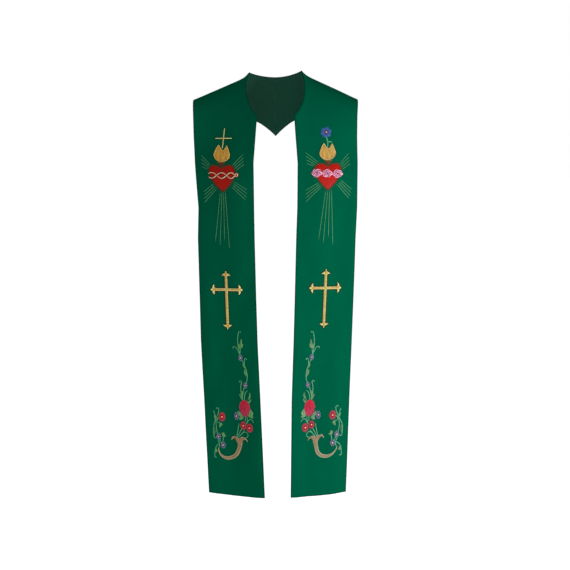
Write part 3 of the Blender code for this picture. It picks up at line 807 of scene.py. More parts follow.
def blossom(bm, centre, size, petals, reach=(0.22, 1.0), fullness=1.0, turn=0.0, lift=0.0,
            tone=None, material=0, only=None):
    """Rounded petals round a centre, with threads that fan outwards. size is half its extent.

    reach is from the inner to the outer end of a petal, as shares of the size. Petals of
    fullness over 1 overlap. only picks a single petal."""
    inner, outer = reach
    spread = fullness * pi / petals
    width = 2.0 * spread * float(np.mean(size)) * 0.8

    def place(angle, out):
        return np.array(centre) + round_about(angle) * np.array(size) * out[:, None]

    for k in range(petals) if only is None else (only,):
        middle = turn + 2.0 * pi * k / petals

        def near(u):
            return place(middle + (2.0 * u - 1.0) * spread * 0.85, np.full_like(u, inner))

        def far(u):
            fan = (u - 0.5) * pi
            out = inner + (outer - inner) * (0.55 + 0.45 * np.cos(fan))
            return place(middle + spread * np.sin(fan), out)

        fade = tone or (lambda u, v: 0.50 + 0.28 * v)
        satin(bm, near, far, width, tone=fade, rise=PETAL_RISE, lift=lift, material=material, along=5)


def knot(bm, centre, radius, lift, material, tone=0.8, rise=0.0010):
    """A small round knot of thread."""

    def shape(u, v):
        height = rise * np.sqrt(np.maximum(0.0, 1.0 - v * v)) + lift - 0.0003 * v
        point = np.array(centre, float) + (radius * v)[:, None] * round_about(2.0 * pi * u)
        return np.column_stack([point, height]), u * 5.0 + v * 1.5, np.full_like(u, tone)

    stitched_grid(bm, 14, 4, shape, material)


def leaf(bm, base, tip, width, lift, bend=0.0, tone=None, material=0):
    """A pointed leaf in two halves that meet on a midrib."""
    length, ahead, beside = heading(base, tip)

    def rib(u):
        return base + ahead * length * u[:, None] + beside * (bend * length * u * (1 - u) * 4)[:, None]

    for way in (1.0, -1.0):

        def edge(u):
            swell = np.sin(pi * u**0.8) ** 0.9 * width / 2.0
            return rib(np.minimum(u + 0.10, 1.0)) + beside * (way * swell)[:, None]

        shading = tone or (lambda u, v: 0.55 + 0.25 * v + 0.12 * way + 0 * u)
        satin(bm, rib, edge, length, shading, LEAF_RISE, lift, material, along=4)


def stitch_bmesh():
    """An empty bmesh whose points can carry thread number, share along it, and tone."""
    bm = bmesh.new()
    bm.verts.layers.float_vector.new("stitch")
    return bm


def lay(bm, side, place=None, upright=False):
    """Lays flat work on a band. place is x out from the middle, z and lean of the top outwards.

    Upright work reads the same way round on both bands, other work is mirrored."""
    x0, z0, lean = place or (0.0, 0.0, 0.0)
    up, out = cos(radians(lean)), sin(radians(lean))
    way = SIDES[side] if upright else 1
    flat = np.array([vert.co for vert in bm.verts])
    a, b = flat[:, 0] * way, flat[:, 1]
    x = x0 + a * up + b * out
    z = z0 + b * up - a * out
    points = on_band(x, z, settings("cloth").wall + flat[:, 2], side)
    for vert, point in zip(bm.verts, points):
        vert.co = point
    if SIDES[side] * way < 0:
        bmesh.ops.reverse_faces(bm, faces=bm.faces[:])


TWO_TONES = {  # threads whose light and dark colours are two settings
    "amber": ("amber", "pumpkin"),
    "pale_gold": ("pale_gold", "gold"),
    "cream": ("cream", "tan"),
    "rose": ("cerise", "magenta"),
    "old_gold": ("old_gold", "gold"),
    "light_tan": ("light_tan", "tan"),
}
# Painted light: lit copies of these threads for the left band, their colours shifted for the stronger
# light that falls on it.
LEFT_LIT_TINT = {  # of the threads of the left band
    "flame": (0.79, 0.90, 1.37),
    "cross": (0.80, 0.84, 0.86),
    "horn": (0.80, 0.95, 1.15),
    "stem": (1.50, 1.06, 1.32),
    "leaf": (1.25, 0.88, 1.22),
    "red": (0.80, 1.00, 1.15),
}


def thread_colours(*names, lit_tint=None):
    """The materials of some threads, made when first asked for. Their colours are multiplied by the
    factors given, as painted light for the lit copies of the left band.
    """
    found = []
    for name in names:
        # The lit copies of the left band are separate materials.
        title = "thread_" + name + ("_left" if lit_tint else "")
        material = bpy.data.materials.get(title)
        if material is None:
            tones = [getattr(settings("colours"), tone) for tone in TWO_TONES.get(name, (name, name))]
            light, dark = (np.array(tone) * (lit_tint or 1.0) for tone in tones)
            light, dark = shade(light, THREAD_SHADES["light"]), shade(dark, THREAD_SHADES["dark"])
            material = thread_material(title, light, dark)
        found.append(material)
    return found


def finish_emblem(bm, name, side, slot, *threads, upright=False):
    """Lays an emblem at its place on a band, where it stands for its node."""
    lay(bm, side, EMBLEM_PLACES[name][side], upright)
    # Painted light: the left band gets lit copies of its threads.
    lit_tint = LEFT_LIT_TINT.get(name) if side == "left" else None
    new_piece(f"{name}_{side}_stitches", bm, thread_colours(*threads, lit_tint=lit_tint), slot, f"{name}_{side}")


# ---------------------------------------------------------------- emblems (metres)
EMBLEM_PLACES = {  # x out from the middle, z, and lean of the top outwards in degrees
    "crest": {"left": (0.1332, -0.1607, 0.0), "right": (0.1380, -0.1755, 0.0)},
    "flame": {"left": (0.1362, -0.2115, -2.0), "right": (0.1424, -0.2152, -2.0)},
    "heart": {"left": (0.1371, -0.2758, 0.3), "right": (0.1433, -0.2795, 0.3)},
    "crown": {"left": (0.1364, -0.2685, 3.0), "right": (0.1398, -0.2729, 0.3)},
    "cross": {"left": (0.1303, -0.5742, 2.3), "right": (0.1340, -0.5778, 1.3)},
    "rose": {"left": (0.0872, -0.9015, 8.0), "right": (0.0867, -0.9018, 8.0)},
    "horn": {"left": (0.1346, -1.0118, 0.0), "right": (0.1326, -1.0166, 0.0)},
}
HEART_WIDTH, HEART_HEIGHT = 0.0728, 0.0765
HEART_SHAPE = {"tip": -0.50, "widest": 0.25, "lobe": 0.63, "top": 0.455, "notch": 0.345}
HEART_BODY, HEART_OUTLINE = 0.930, 0.972  # as shares of its size
HEART_TIP_X = {"left": 0.0, "right": 0.0042}  # how far the point leans
CLEFT = (  # half width and height of the dark patch between flame and heart, about the heart
    (0.0104, 0.0405),
    (0.007904, 0.0360),
    (0.00728, 0.0320),
    (0.0006, 0.0280),
)
FLAME_SIZE = np.array([0.0455, 0.0450])  # across and up
FLAME_BODY, FLAME_RIM = 0.950, 0.925  # as shares of its size
FLAME_SHAPE = {  # across and up, as shares of its size
    "foot": -0.52,
    "side": -0.08,
    "tall": (-0.21, 0.49),
    "hollow": (0.08, 0.175),
    "short": (0.30, 0.455),
}
FLAME_CURL = ((0.0, 0.0), (0.11, -0.13), (0.12, -0.30), (0.02, -0.52))  # from the hollow
TWIST = {  # in millimetres: where it starts, where its cords cross, and how far each swings out
    "start": -39.0,
    "crossings": (-44.0, -15.5, 11.0, 33.0),
    "swing": 7.3,
}
TWIST_HOOK = ((33.0, 0.0), (35.0, 4.6), (38.4, 4.6), (39.2, 0.8), (36.6, -1.9), (32.4, -2.2))
GARLAND = {"spacing": 0.0275, "shift": -0.0022, "half_width": 0.0140, "half_height": 0.0117}
GARLAND_RINGS = (  # share of a rose's size, curls and height
    (0.90, 5, 0.0019),
    (0.60, 4, 0.0022),
    (0.28, 2, 0.0025),
)
CREST_CROSS = {"height": 0.0530, "span": 0.0445, "bar": 0.0030, "slant": 0.108}
CREST_FLOWER_HALF = (0.0150, 0.0145)
CREST_STEM = ((0.0008, -0.0125), (0.0024, -0.0200), (0.0036, -0.0260), (0.0036, -0.0390))
CREST_LEAF = ((0.0034, -0.0262), (0.0080, -0.0248), (0.0158, -0.0258))
GOLD_CROSS = {"height": 0.1625, "span": 0.0882, "bar": 0.0090, "arm_at": 0.679}
CROSS_ENDS = {  # back from the tip and half width in bar widths: the point, and its leaf's edges
    "upright": {
        "point": ((0.0, 0.0), (0.40, 0.17), (0.70, 0.30), (1.00, 0.52), (1.45, 0.52), (1.90, 0.41)),
        "front": ((0.66, 0.22), (1.00, 0.76), (1.38, 1.16), (1.66, 1.42)),
        "hind": ((1.98, 0.34), (1.60, 0.66), (1.50, 1.02), (1.66, 1.42)),
    },
    "level": {
        "point": ((0.0, 0.0), (0.30, 0.28), (0.55, 0.45), (0.90, 0.53), (1.30, 0.50), (1.64, 0.41)),
        "front": ((0.42, 0.36), (0.66, 0.96), (0.95, 1.30), (1.26, 1.56)),
        "hind": ((1.66, 0.34), (1.28, 0.66), (1.18, 1.06), (1.26, 1.56)),
    },
}
ROSE_HALF = np.array([0.0152, 0.0240])  # across and up
ROSE_RINGS = (  # share of its size, petals, turn and height
    (1.00, 10, 0.20, 0.0000),
    (0.80, 7, 0.65, 0.0005),
    (0.58, 6, 0.20, 0.0009),
    (0.36, 4, 1.00, 0.0013),
)
HORN_RADIUS = 0.0280  # of its bend
HORN_MOUTH = np.array([-0.0310, 0.0225])
HORN_SWAY = {"left": -0.0026, "right": 0.0034}  # of its foot, outwards
HORN_BOW = 0.0018  # of its neck, inwards
HORN_TAPER = {  # half the width of the horn at a distance along it from the mouth
    "along": (0.000, 0.009, 0.016, 0.030, 0.062, 0.070, 0.079, 0.088, 0.098, 0.110),
    "half": (0.0076, 0.0065, 0.0055, 0.0048, 0.0046, 0.0040, 0.0029, 0.0017, 0.0009, 0.0004),
}
HORN_LIP_LENGTH = 0.0221  # from the middle of the mouth outwards
HORN_LIP = {  # the rolled lip, out from the middle of the mouth and up, in lip lengths
    "outer": {
        "under_out": (0.00, 0.33, 0.45, 0.66, 0.86, 1.03),
        "under_up": (-0.34, -0.28, 0.02, 0.24, 0.22, 0.02),
        "over_out": (0.00, 0.36, 0.62, 0.80, 0.95, 1.03),
        "over_up": (0.31, 0.42, 0.50, 0.49, 0.33, 0.06),
    },
    "inner": {
        "under_out": (0.00, 0.33, 0.44, 0.62, 0.82, 1.00),
        "under_up": (-0.32, -0.27, -0.02, 0.10, 0.04, -0.16),
        "over_out": (0.00, 0.25, 0.50, 0.74, 0.92, 1.00),
        "over_up": (0.31, 0.38, 0.38, 0.24, 0.02, -0.14),
    },
}
HORN_LIP_RISE = {"left": 0.0, "right": 0.13}  # of its inner lip, in lip lengths
FLOWERS = {  # half width and half height of a small flower, and x out from the middle and z
    "red_upper": {"half": (0.0097, 0.0138), "left": (0.1505, -0.9251), "right": (0.1504, -0.9300)},
    "red_middle": {"half": (0.0087, 0.0127), "left": (0.0923, -0.9488), "right": (0.0913, -0.9498)},
    "red_inner": {"half": (0.0094, 0.0130), "left": (0.0749, -0.9552), "right": (0.0741, -0.9552)},
    "blue_vine": {"half": (0.0063, 0.0094), "left": (0.0935, -0.7615), "right": (0.0980, -0.7625)},
    "blue_side": {"half": (0.0069, 0.0120), "left": (0.1113, -0.9222), "right": (0.1100, -0.9246)},
    "blue_outer": {"half": (0.0068, 0.0102), "left": (0.1620, -0.9798), "right": (0.1605, -0.9858)},
    "blue_low": {"half": (0.0075, 0.0104), "left": (0.1505, -1.0030), "right": (0.1481, -1.0090)},
    "bud": {"half": (0.0062, 0.0092), "left": (0.0828, -0.8372), "right": (0.0852, -0.8378)},
}
RAY_FANS = {  # root of the first and last ray, tip of both, and the four lengths (millimetres)
    "right": (
        ((-30, 33), (-37, 22), (-56, 59.5), (-55.5, 30), (1.0, 1.03, 1.0, 0.96)),
        ((29, 33), (39.5, 20.5), (57, 61), (61, 36.5), (1.0, 1.04, 1.02, 0.97)),
        ((-22.5, -16), (-14, -28.5), (-50, -37), (-48.5, -66), (1.0, 0.98, 0.99, 1.0)),
        ((33, -9.5), (26.5, -22.5), (67.5, -31), (63, -58), (1.0, 1.03, 1.07, 1.0)),
        ((-4, -38), (9.4, -36), (-19.6, -168), (18, -186), (1.0, 1.03, 0.882, 1.0)),
    ),
    "left": (
        ((-25.5, 36), (-37.5, 27), (-60, 62.5), (-56.5, 33.5), (1.0, 1.03, 1.01, 1.0)),
        ((32.5, 31.5), (38.5, 16.5), (57.8, 60.3), (61.8, 31.5), (1.0, 0.98, 1.0, 1.0)),
        ((-25, -16), (-17, -27), (-59.5, -37), (-59, -66.5), (1.0, 1.02, 0.99, 1.0)),
        ((35, -11), (24, -21.5), (65, -36.5), (58, -60.5), (1.0, 1.02, 1.03, 1.0)),
        ((-6, -38), (9.4, -36), (-20.2, -167), (18.6, -184), (1.0, 1.03, 0.885, 1.0)),
    ),
}
LONG_RAY_SLANT = {"left": 0.030, "right": 0.0}
RAY_SHADOW_OFF = 0.0019  # from the middle of its ray


def heart_foot(out):
    """Lower edge of the heart at a share of its half width, as a share of its height."""
    shape = HEART_SHAPE
    return shape["widest"] - (shape["widest"] - shape["tip"]) * (1.0 - np.abs(out)) ** 0.53


def heart_top(out):
    """Upper edge of the heart at a share of its half width, as a share of its height."""
    shape = HEART_SHAPE
    beyond = limited((np.abs(out) - shape["lobe"]) / (1.0 - shape["lobe"]))
    shoulder = shape["widest"] + (shape["top"] - shape["widest"]) * np.sqrt(1.0 - beyond**2)
    inward = limited(1.0 - np.abs(out) / shape["lobe"])
    dent = shape["top"] - (shape["top"] - shape["notch"]) * inward**2.2
    return np.where(beyond > 0.0, shoulder, dent)


def heart_edge(height_at, side, scale):
    """A rail along the heart's upper or lower edge, from its left to its right."""
    shape = HEART_SHAPE

    def at(u):
        out = np.sign(2.0 * u - 1.0) * (1.0 - (1.0 - np.abs(2.0 * u - 1.0)) ** 1.25)
        up = height_at(out)
        below = np.maximum(shape["widest"] - up, 0.0) / (shape["widest"] - shape["tip"])
        x = out * HEART_WIDTH / 2.0 + below * HEART_TIP_X[side]
        return np.column_stack([x, up * HEART_HEIGHT]) * scale

    return at


def make_heart(side):
    """A red heart of fill stitches with a dark outline and a dark cleft under the flame."""
    bm = stitch_bmesh()

    def glow(u, v):
        grain = 0.26 * np.sin(u * 61.0 + 4.0 * np.sin(v * 19.0)) * np.sin(v * 47.0 + 9.0 * u)
        return 0.74 + grain - 0.30 * np.abs(2 * u - 1) ** 6

    foot, top = (heart_edge(height_at, side, HEART_BODY) for height_at in (heart_foot, heart_top))
    satin(bm, foot, top, HEART_WIDTH, tone=glow, along=48, fill=0.0036)
    for height_at in (heart_foot, heart_top):
        edge = heart_edge(height_at, side, HEART_OUTLINE)(bunched(90))
        stem_stitch(bm, edge, "heart_outline")
    cleft = np.array(CLEFT)
    left, right = rail(cleft * (-1, 1)), rail(cleft)
    satin(bm, left, right, 0.0150, tone=0.50, rise=0.0008, lift=0.0010, material=2)
    half, height = CLEFT[0]
    collar = even_line([(-half, height), (half, height)], 20)
    stem_stitch(bm, collar, "heart_collar")
    finish_emblem(bm, "heart", side, "red_thread", "red", "bark", "cleft", "rust", upright=True)


def flame_foot(out):
    """Lower edge of the flame at a share of its width, as a share of its height."""
    shape = FLAME_SHAPE
    return shape["side"] - (shape["side"] - shape["foot"]) * (1.0 - np.abs(2 * out) ** 1.9) ** 0.50


def flame_top(out):
    """Upper edge of the flame at a share of its width, as a share of its height."""
    shape = FLAME_SHAPE
    left, right = (-0.5, shape["side"]), (0.5, shape["side"])
    height = np.full_like(out, shape["side"])
    for start, end, bulging in (
        (left, shape["tall"], True),
        (shape["hollow"], shape["tall"], False),
        (shape["hollow"], shape["short"], False),
        (right, shape["short"], True),
    ):
        share = (out - start[0]) / (end[0] - start[0])
        inside = limited(share)
        lift = 1.0 - (1.0 - inside) ** 1.55 if bulging else inside**1.5
        stretch = (share >= 0.0) & (share <= 1.0)
        height = np.where(stretch, start[1] + (end[1] - start[1]) * lift, height)
    return height


def flame_edge(height_at, scale=1.0):
    """A rail along the flame's upper or lower edge, from its left to its right."""

    def at(u):
        out = np.clip(u - 0.5, -0.5, 0.5)
        return np.column_stack([out, height_at(out)]) * (FLAME_SIZE * scale)

    return at


def make_flame(side):
    """A gold flame of two tongues with a light rim, a dark outline and a curl inside."""
    bm = stitch_bmesh()

    def glow(u, v):
        return 0.66 + 0.10 * (v - 0.5) + 0.30 * np.sin(u * 21.0 + 1.5) * np.cos(v * 4.0 - 1.0)

    foot, top = (flame_edge(height_at, FLAME_BODY) for height_at in (flame_foot, flame_top))
    satin(bm, foot, top, FLAME_SIZE[0], tone=glow, along=36, fill=0.0040)
    tall, hollow, short = (np.array(FLAME_SHAPE[name]) for name in ("tall", "hollow", "short"))
    stem_stitch(bm, smooth_path((hollow + FLAME_CURL) * FLAME_SIZE), "flame_curl")
    corners = (0.0, 0.5 + tall[0], 0.5 + hollow[0], 0.5 + short[0], 1.0)
    stretches = [(flame_foot, 0.0, 1.0)]
    stretches += [(flame_top, low, high) for low, high in zip(corners, corners[1:])]
    for height_at, low, high in stretches:
        share = low + (high - low) * bunched(80)
        stem_stitch(bm, flame_edge(height_at, FLAME_RIM)(share), "flame_rim")
        stem_stitch(bm, flame_edge(height_at)(share), "flame_outline")
    for tip in (tall * FLAME_SIZE, short * FLAME_SIZE):
        line = tip + (hollow * FLAME_SIZE - tip) * np.linspace(0.30, -0.04, 12)[:, None]
        stem_stitch(bm, line, "flame_vein")
    threads = ("amber", "ochre", "straw", "brown")
    finish_emblem(bm, "flame", side, "gold_thread", *threads, upright=True)


def twist_cord(way):
    """One cord of the twist: it swings to one side and the other between the crossings."""
    crossings = np.array(TWIST["crossings"])
    along = np.linspace(TWIST["start"], crossings[-1], 110)
    turn = np.interp(along, crossings, np.arange(len(crossings)) * pi)
    path = np.column_stack([along, way * np.sin(turn) * TWIST["swing"]])
    height = 0.0016 + 0.0009 * way * np.cos(turn)
    if way > 0:
        hook = smooth_path(TWIST_HOOK, 26)[1:]
        path = np.vstack([path, hook])
        height = np.concatenate([height, np.full(len(hook), height[-1])])
    return path / 1000.0, height


def make_thorn_twist(side):
    """Two cream cords twisted round each other, on the right heart."""
    bm = stitch_bmesh()
    for way in (1.0, -1.0):
        path, over = twist_cord(way)
        for line in ("twist_cord", "twist_outline"):
            stem_stitch(bm, path, line, over)
    finish_emblem(bm, "crown", side, "cream_thread", "cream", "dark_red", upright=True)


def make_rose_garland(side):
    """Three pink roses in a row, each of curled petals, on the left heart."""
    bm = stitch_bmesh()
    size = np.array([GARLAND["half_width"], GARLAND["half_height"]])
    for n in (-1, 0, 1):
        centre = np.array([n * GARLAND["spacing"] + GARLAND["shift"], 0.0])
        blossom(
            bm, centre, size, 5, reach=(0.15, 1.0), fullness=1.12, turn=0.5 * n, lift=0.0008,
            material=1, tone=0.62,
        )
        for ring, count, lift in GARLAND_RINGS:
            for k in range(count):
                fan = np.linspace(-0.5, 0.5, 16)
                swirl = 2.0 * pi * k / count + ring * 2.0 + 0.5 * n + fan * 2.0 * pi / count * 0.92
                reach = ring * (1.04 - 0.28 * (fan + 0.5))
                line = centre + size * reach[:, None] * round_about(swirl)
                stem_stitch(bm, line, "garland_curl", lift)
                stem_stitch(bm, centre + (line - centre) * 0.84, "garland_shadow", lift)
        base, tip = centre + size * (0.45, 0.0), centre + size * (1.10, -0.12)
        leaf(bm, base, tip, size[1] * 0.8, lift=0.0012, tone=0.8)
    finish_emblem(bm, "crown", side, "pink_thread", "pink", "lilac", "orchid", upright=True)


def bar(bm, start, end, half_width, tone, lift=0.0, rise=None):
    """A satin bar; half_width gives half its width at shares of its length."""
    start = np.array(start, float)
    length, ahead, beside = heading(start, np.array(end, float))

    def edge(way):
        return lambda u: start + ahead * length * u[:, None] + beside * (way * half_width(u))[:, None]

    satin(bm, edge(-1.0), edge(1.0), length, tone=tone, lift=lift, rise=rise)


def make_crest_cross(side):
    """A small plain gold cross that stands in the flame of the right heart, a little aslant."""
    bm = stitch_bmesh()
    size = CREST_CROSS
    half = size["bar"] / 2.0

    def even(u):
        return np.full_like(u, half) * np.minimum(1.0, 0.5 + np.minimum(u, 1 - u) * 20.0)

    upright = np.array([[size["slant"], -1.0], [-size["slant"], 1.0]]) * size["height"] / 2.0
    level = np.array([[-1.0, 0.0], [1.0, 0.0]]) * size["span"] / 2.0
    bar(bm, *upright, even, 0.62)
    bar(bm, *level, even, 0.62, lift=0.0005)
    for way in (1.0, -1.0):
        beside = way * (half + 0.0007)
        for line in (even_line(upright + (beside, 0), 40), even_line(level + (0, beside), 34)):
            stem_stitch(bm, line, "crest_outline")
    knot(bm, (0, 0), half * 1.1, lift=0.0012, material=2)
    finish_emblem(bm, "crest", side, "gold_thread", "old_gold", "brown", "amber")


def make_crest_flower(side):
    """A blue flower that grows from the flame of the left heart."""
    bm = stitch_bmesh()
    size = np.array(CREST_FLOWER_HALF)
    blossom(bm, (0, 0), size, 6, turn=0.31, fullness=1.06)
    for k in range(6):
        angle = 0.31 + 2.0 * pi * k / 6.0
        reach = np.linspace(0.35, 0.78, 10)[:, None] * size
        line = reach * np.array([cos(angle), sin(angle)])
        stem_stitch(bm, line, "crest_petal")
    blossom(bm, (0, 0), size * 0.38, 6, reach=(0.2, 1.0), lift=0.0008, material=2)
    knot(bm, (0, 0), 0.0027, lift=0.0013, material=3)
    stem_stitch(bm, smooth_path(CREST_STEM), "crest_stem")
    stem_stitch(bm, smooth_path(CREST_LEAF), "crest_leaf")
    finish_emblem(bm, "crest", side, "blue_thread", "blue", "violet", "plum", "cream", "stem")


def make_gold_cross(side):
    """A gold cross whose arms end in a point between two curled leaves, with a dark outline and painted
    highlights on the tips.
    """
    bm = stitch_bmesh()
    width = GOLD_CROSS["bar"]
    level = GOLD_CROSS["span"] / 2.0
    arms = (
        (GOLD_CROSS["height"] * (1 - GOLD_CROSS["arm_at"]), pi / 2.0, "upright"),
        (level, pi, "level"),
        (GOLD_CROSS["height"] * GOLD_CROSS["arm_at"], -pi / 2.0, "upright"),
        (level, 0.0, "level"),
    )
    for length, direction, name in arms:
        ahead = np.array([cos(direction), sin(direction)])
        beside = np.array([-ahead[1], ahead[0]])
        end = {part: np.array(points) for part, points in CROSS_ENDS[name].items()}
        point = end["point"]
        beam = point[-1, 1]
        inner = length / width - beam
        body_tone = 0.22 if name == "upright" else 0.36

        def place(points, way, out=0.0):
            back, half = np.array(points, float).T[:, :, None] * width
            return ahead * (length - back) + beside * way * (half + out)

        def half_width(u):
            half = np.interp((1.0 - u) * length / width, point[:, 0], point[:, 1]) * width
            return half * limited(u * length / (width * 0.4) + 0.02)

        def tone(u, v):
            back = (1.0 - u) * length / width
            edge = ease((np.abs(2 * v - 1) - 0.45) / 0.3) * ease(back - 1.0)
            # Paler toward each tip: a painted highlight.
            return body_tone + 0.66 * ease(1.0 - back / 0.8) + 0.26 * edge

        def leaf_tone(u, v):
            return 0.28 + 0.80 * u

        bar(bm, (0, 0), ahead * length, half_width, tone, rise=0.0012)
        for way in (1.0, -1.0):
            front, hind = (smooth_path(place(end[part], way), 24) for part in ("front", "hind"))
            satin(bm, rail(hind), rail(front), width * 1.6, tone=leaf_tone, rise=0.0012, lift=0.0001)
            for line, count in (
                (place(((-0.10, 0.0), (0.45, 0.28), (0.80, 0.50)), way), 20),
                (front + ahead * width * 0.13, 20),
                (hind - ahead * width * 0.13, 20),
                (place(((1.60, beam), (inner, beam)), way, 0.0013), 60),
            ):
                stem_stitch(bm, even_line(line, count), "cross_outline")
        spot = place(((0.85, 0.0), (1.70, 0.0)), way)
        stem_stitch(bm, even_line(spot, 10), "cross_spot")
        if name == "level":
            vein = place(((1.60, 0.0), (inner, 0.0)), way)
            stem_stitch(bm, even_line(vein, 30), "cross_vein")
    finish_emblem(bm, "cross", side, "gold_thread", "pale_gold", "moss", "ochre")


def make_rays(side):
    """Fine rays of stem stitch round the heart; the long ones hang under its point."""
    bm = stitch_bmesh()
    for fan in RAY_FANS[side]:
        root, last_root, tip, last_tip = (np.array(corner) / 1000.0 for corner in fan[:4])
        across = last_root - root
        for n, reach in enumerate(fan[4]):
            share = n / 3.0
            start = root + across * share
            end = start + (tip + (last_tip - tip) * share - start) * reach
            count = max(6, round(float(np.linalg.norm(end - start)) / LINE_STEP))
            line = start + (end - start) * np.linspace(0, 1, count)[:, None]
            if fan is RAY_FANS[side][-1]:
                line[:, 0] += (line[:, 1] - start[1]) * LONG_RAY_SLANT[side]
            stem_stitch(bm, line, "ray")
            stem_stitch(bm, line + across / np.linalg.norm(across) * RAY_SHADOW_OFF, "ray_shadow")
    lay(bm, side, EMBLEM_PLACES["heart"][side], upright=True)
    new_piece(f"rays_{side}_stitches", bm, thread_colours("ray", "shade"), None)


def make_rose(side):
    """A large rose, taller than wide, in overlapping rings of petals, pinker at its foot."""
    bm = stitch_bmesh()
    wide, high = ROSE_HALF
    for scale, petals, turn, lift in ROSE_RINGS:
        centre = np.array([0.0, high * 0.16 * (1.0 - scale)])
        size = ROSE_HALF * scale
        for k in range(petals):
            angle = turn + 2.0 * pi * k / petals
            up = 0.5 + 0.5 * scale * sin(angle)

            def tone(u, v):
                return limited(0.15 + 0.95 * up + 0.10 * np.sin(9.0 * u) - 0.15 * v)

            blossom(
                bm, centre, size, petals, reach=(0.30, 1.0), fullness=1.35, turn=turn, lift=lift,
                only=k, tone=tone,
            )
            curl = angle + np.linspace(-0.5, 0.5, 14) * 2.0 * pi / petals
            bow = 0.93 + 0.03 * np.cos((curl - angle) * petals)
            line = centre + round_about(curl) * size * bow[:, None]
            kind = "rose_rim" if scale == 1.0 or up < 0.4 else "rose_fold"
            stem_stitch(bm, line, kind, lift)
    knot(bm, (0.0, high * 0.12), wide * 0.20, lift=0.0012, material=1, tone=0.6)
    finish_emblem(bm, "rose", side, "rose_thread", "rose", "scarlet", "rose_rim")


def small_flowers(side, colour):
    """Number, middle and half size of the small flowers of one colour."""
    flowers = [FLOWERS[name] for name in flower_names(colour)]
    return [(n, np.array(row[side]), np.array(row["half"])) for n, row in enumerate(flowers)]


def flower_names(colour):
    """The small flowers of one colour. The bud goes with the blue ones."""
    return [name for name in FLOWERS if name.startswith("red") == (colour == "red")]


def finish_flowers(bm, side, colour, threads):
    """Lays the small flowers on a band, where they stand for their nodes. The bud has none."""
    lay(bm, side)
    nodes = [f"flower_{name}_{side}" for name in flower_names(colour) if name != "bud"]
    new_piece(f"{colour}_flowers_{side}", bm, threads, colour + "_thread", *nodes)


def make_red_flowers(side):
    """The small red flowers of the horn of plenty, each with a light eye."""
    bm = stitch_bmesh()
    for n, centre, size in small_flowers(side, "red"):
        blossom(bm, centre, size, 9, turn=0.5 + 0.4 * n, fullness=1.30, tone=0.62)
        for k in range(14):
            angle = 2.0 * pi * (k + 0.5) / 14.0 + n
            line = centre + np.linspace(0.52, 0.92, 8)[:, None] * size * (cos(angle), sin(angle))
            stem_stitch(bm, line, "red_petal")
        blossom(
            bm, centre, size * 0.60, 6, reach=(0.1, 1.0), turn=0.4 * n, fullness=1.1, lift=0.0008,
            material=1, tone=0.6,
        )
        knot(bm, centre, size[0] * 0.24, lift=0.0016, material=2, tone=1.0)
    # Painted light: the left band gets lit copies of its threads.
    lit_tint = LEFT_LIT_TINT["red"] if side == "left" else None
    threads = thread_colours("scarlet", "crimson", "apricot", "rose_rim", lit_tint=lit_tint)
    finish_flowers(bm, side, "red", threads)


def make_blue_flowers(side):
    """The small violet flowers of the horn of plenty and its vine, and the bud on the vine."""
    bm = stitch_bmesh()
    for n, centre, size in small_flowers(side, "blue"):
        blossom(
            bm, centre, size, 8, turn=0.4 * n, fullness=0.74, reach=(0.35, 1.0), tone=0.75,
            lift=0.0002,
        )
        knot(bm, centre, size[0] * 0.62, lift=0.0003, material=3, rise=0.0006)
        knot(bm, centre, size[0] * 0.50, lift=0.0006, material=1)
        knot(bm, centre, size[0] * 0.25, lift=0.0014, material=2)
    finish_flowers(bm, side, "blue", thread_colours("violet", "plum", "blush", "indigo"))


def horn_rail(way, side):
    """One edge of the horn from its mouth to its tip: down a bent funnel and round half a circle."""
    radius = HORN_RADIUS
    funnel = hypot(HORN_MOUTH[0] + radius, HORN_MOUTH[1])

    def at(u):
        along = HORN_TAPER["along"][-1] * u
        down = np.minimum(along / funnel, 1.0)[:, None]
        beside = round_about(pi + np.maximum(along - funnel, 0.0) / radius)
        neck = HORN_MOUTH + ((-radius, 0.0) - HORN_MOUTH) * down
        middle = np.where(down < 1.0, neck, beside * radius)
        bow = np.sin(pi * limited((middle[:, 1] + 0.006) / 0.036)) * (middle[:, 0] < 0.0)
        foot = limited(-middle[:, 1] / radius)
        middle[:, 0] += HORN_SWAY[side] * foot - HORN_BOW * bow
        half = np.interp(along, HORN_TAPER["along"], HORN_TAPER["half"])
        return middle + beside * (half * way)[:, None]

    return at


def horn_lip(part, way, name, side):
    """The line under or over one side of the rolled lip."""
    out, up = (np.array(HORN_LIP[name][part + axis]) for axis in ("_out", "_up"))
    if name == "inner":
        up = up + HORN_LIP_RISE[side] * ease(out / 0.3)
    return smooth_path(HORN_MOUTH + HORN_LIP_LENGTH * np.column_stack([way * out, up]), 40)


def make_horn(side):
    """A curled horn of plenty with a rolled mouth, light edges and ribs across it."""
    bm = stitch_bmesh()

    def ribs(u, v):
        return 0.55 + 0.10 * np.sin(2.0 * pi * (u * 14.0 + v * 0.5)) + 0.16 * (v - 0.5)

    length = HORN_TAPER["along"][-1]
    satin(bm, horn_rail(1.0, side), horn_rail(-1.0, side), length, tone=ribs, along=8, rise=0.0014)
    for way, name in ((1.0, "outer"), (-1.0, "inner")):
        inner, outer = (horn_rail(way * k, side)(np.linspace(0.02, 1.0, 90)) for k in (0.82, 1.08))
        stem_stitch(bm, inner, "horn_edge")
        stem_stitch(bm, outer, "horn_outline")
        under, over = (horn_lip(part, way, name, side) for part in ("under", "over"))
        width = HORN_LIP_LENGTH * 1.6
        satin(bm, rail(under), rail(over), width, tone=0.62, lift=0.0005, rise=0.0012)
        stem_stitch(bm, over, "lip_edge")
        stem_stitch(bm, under[12:], "lip_outline")
    finish_emblem(bm, "horn", side, "bronze_thread", "tan", "light_tan", "umber")


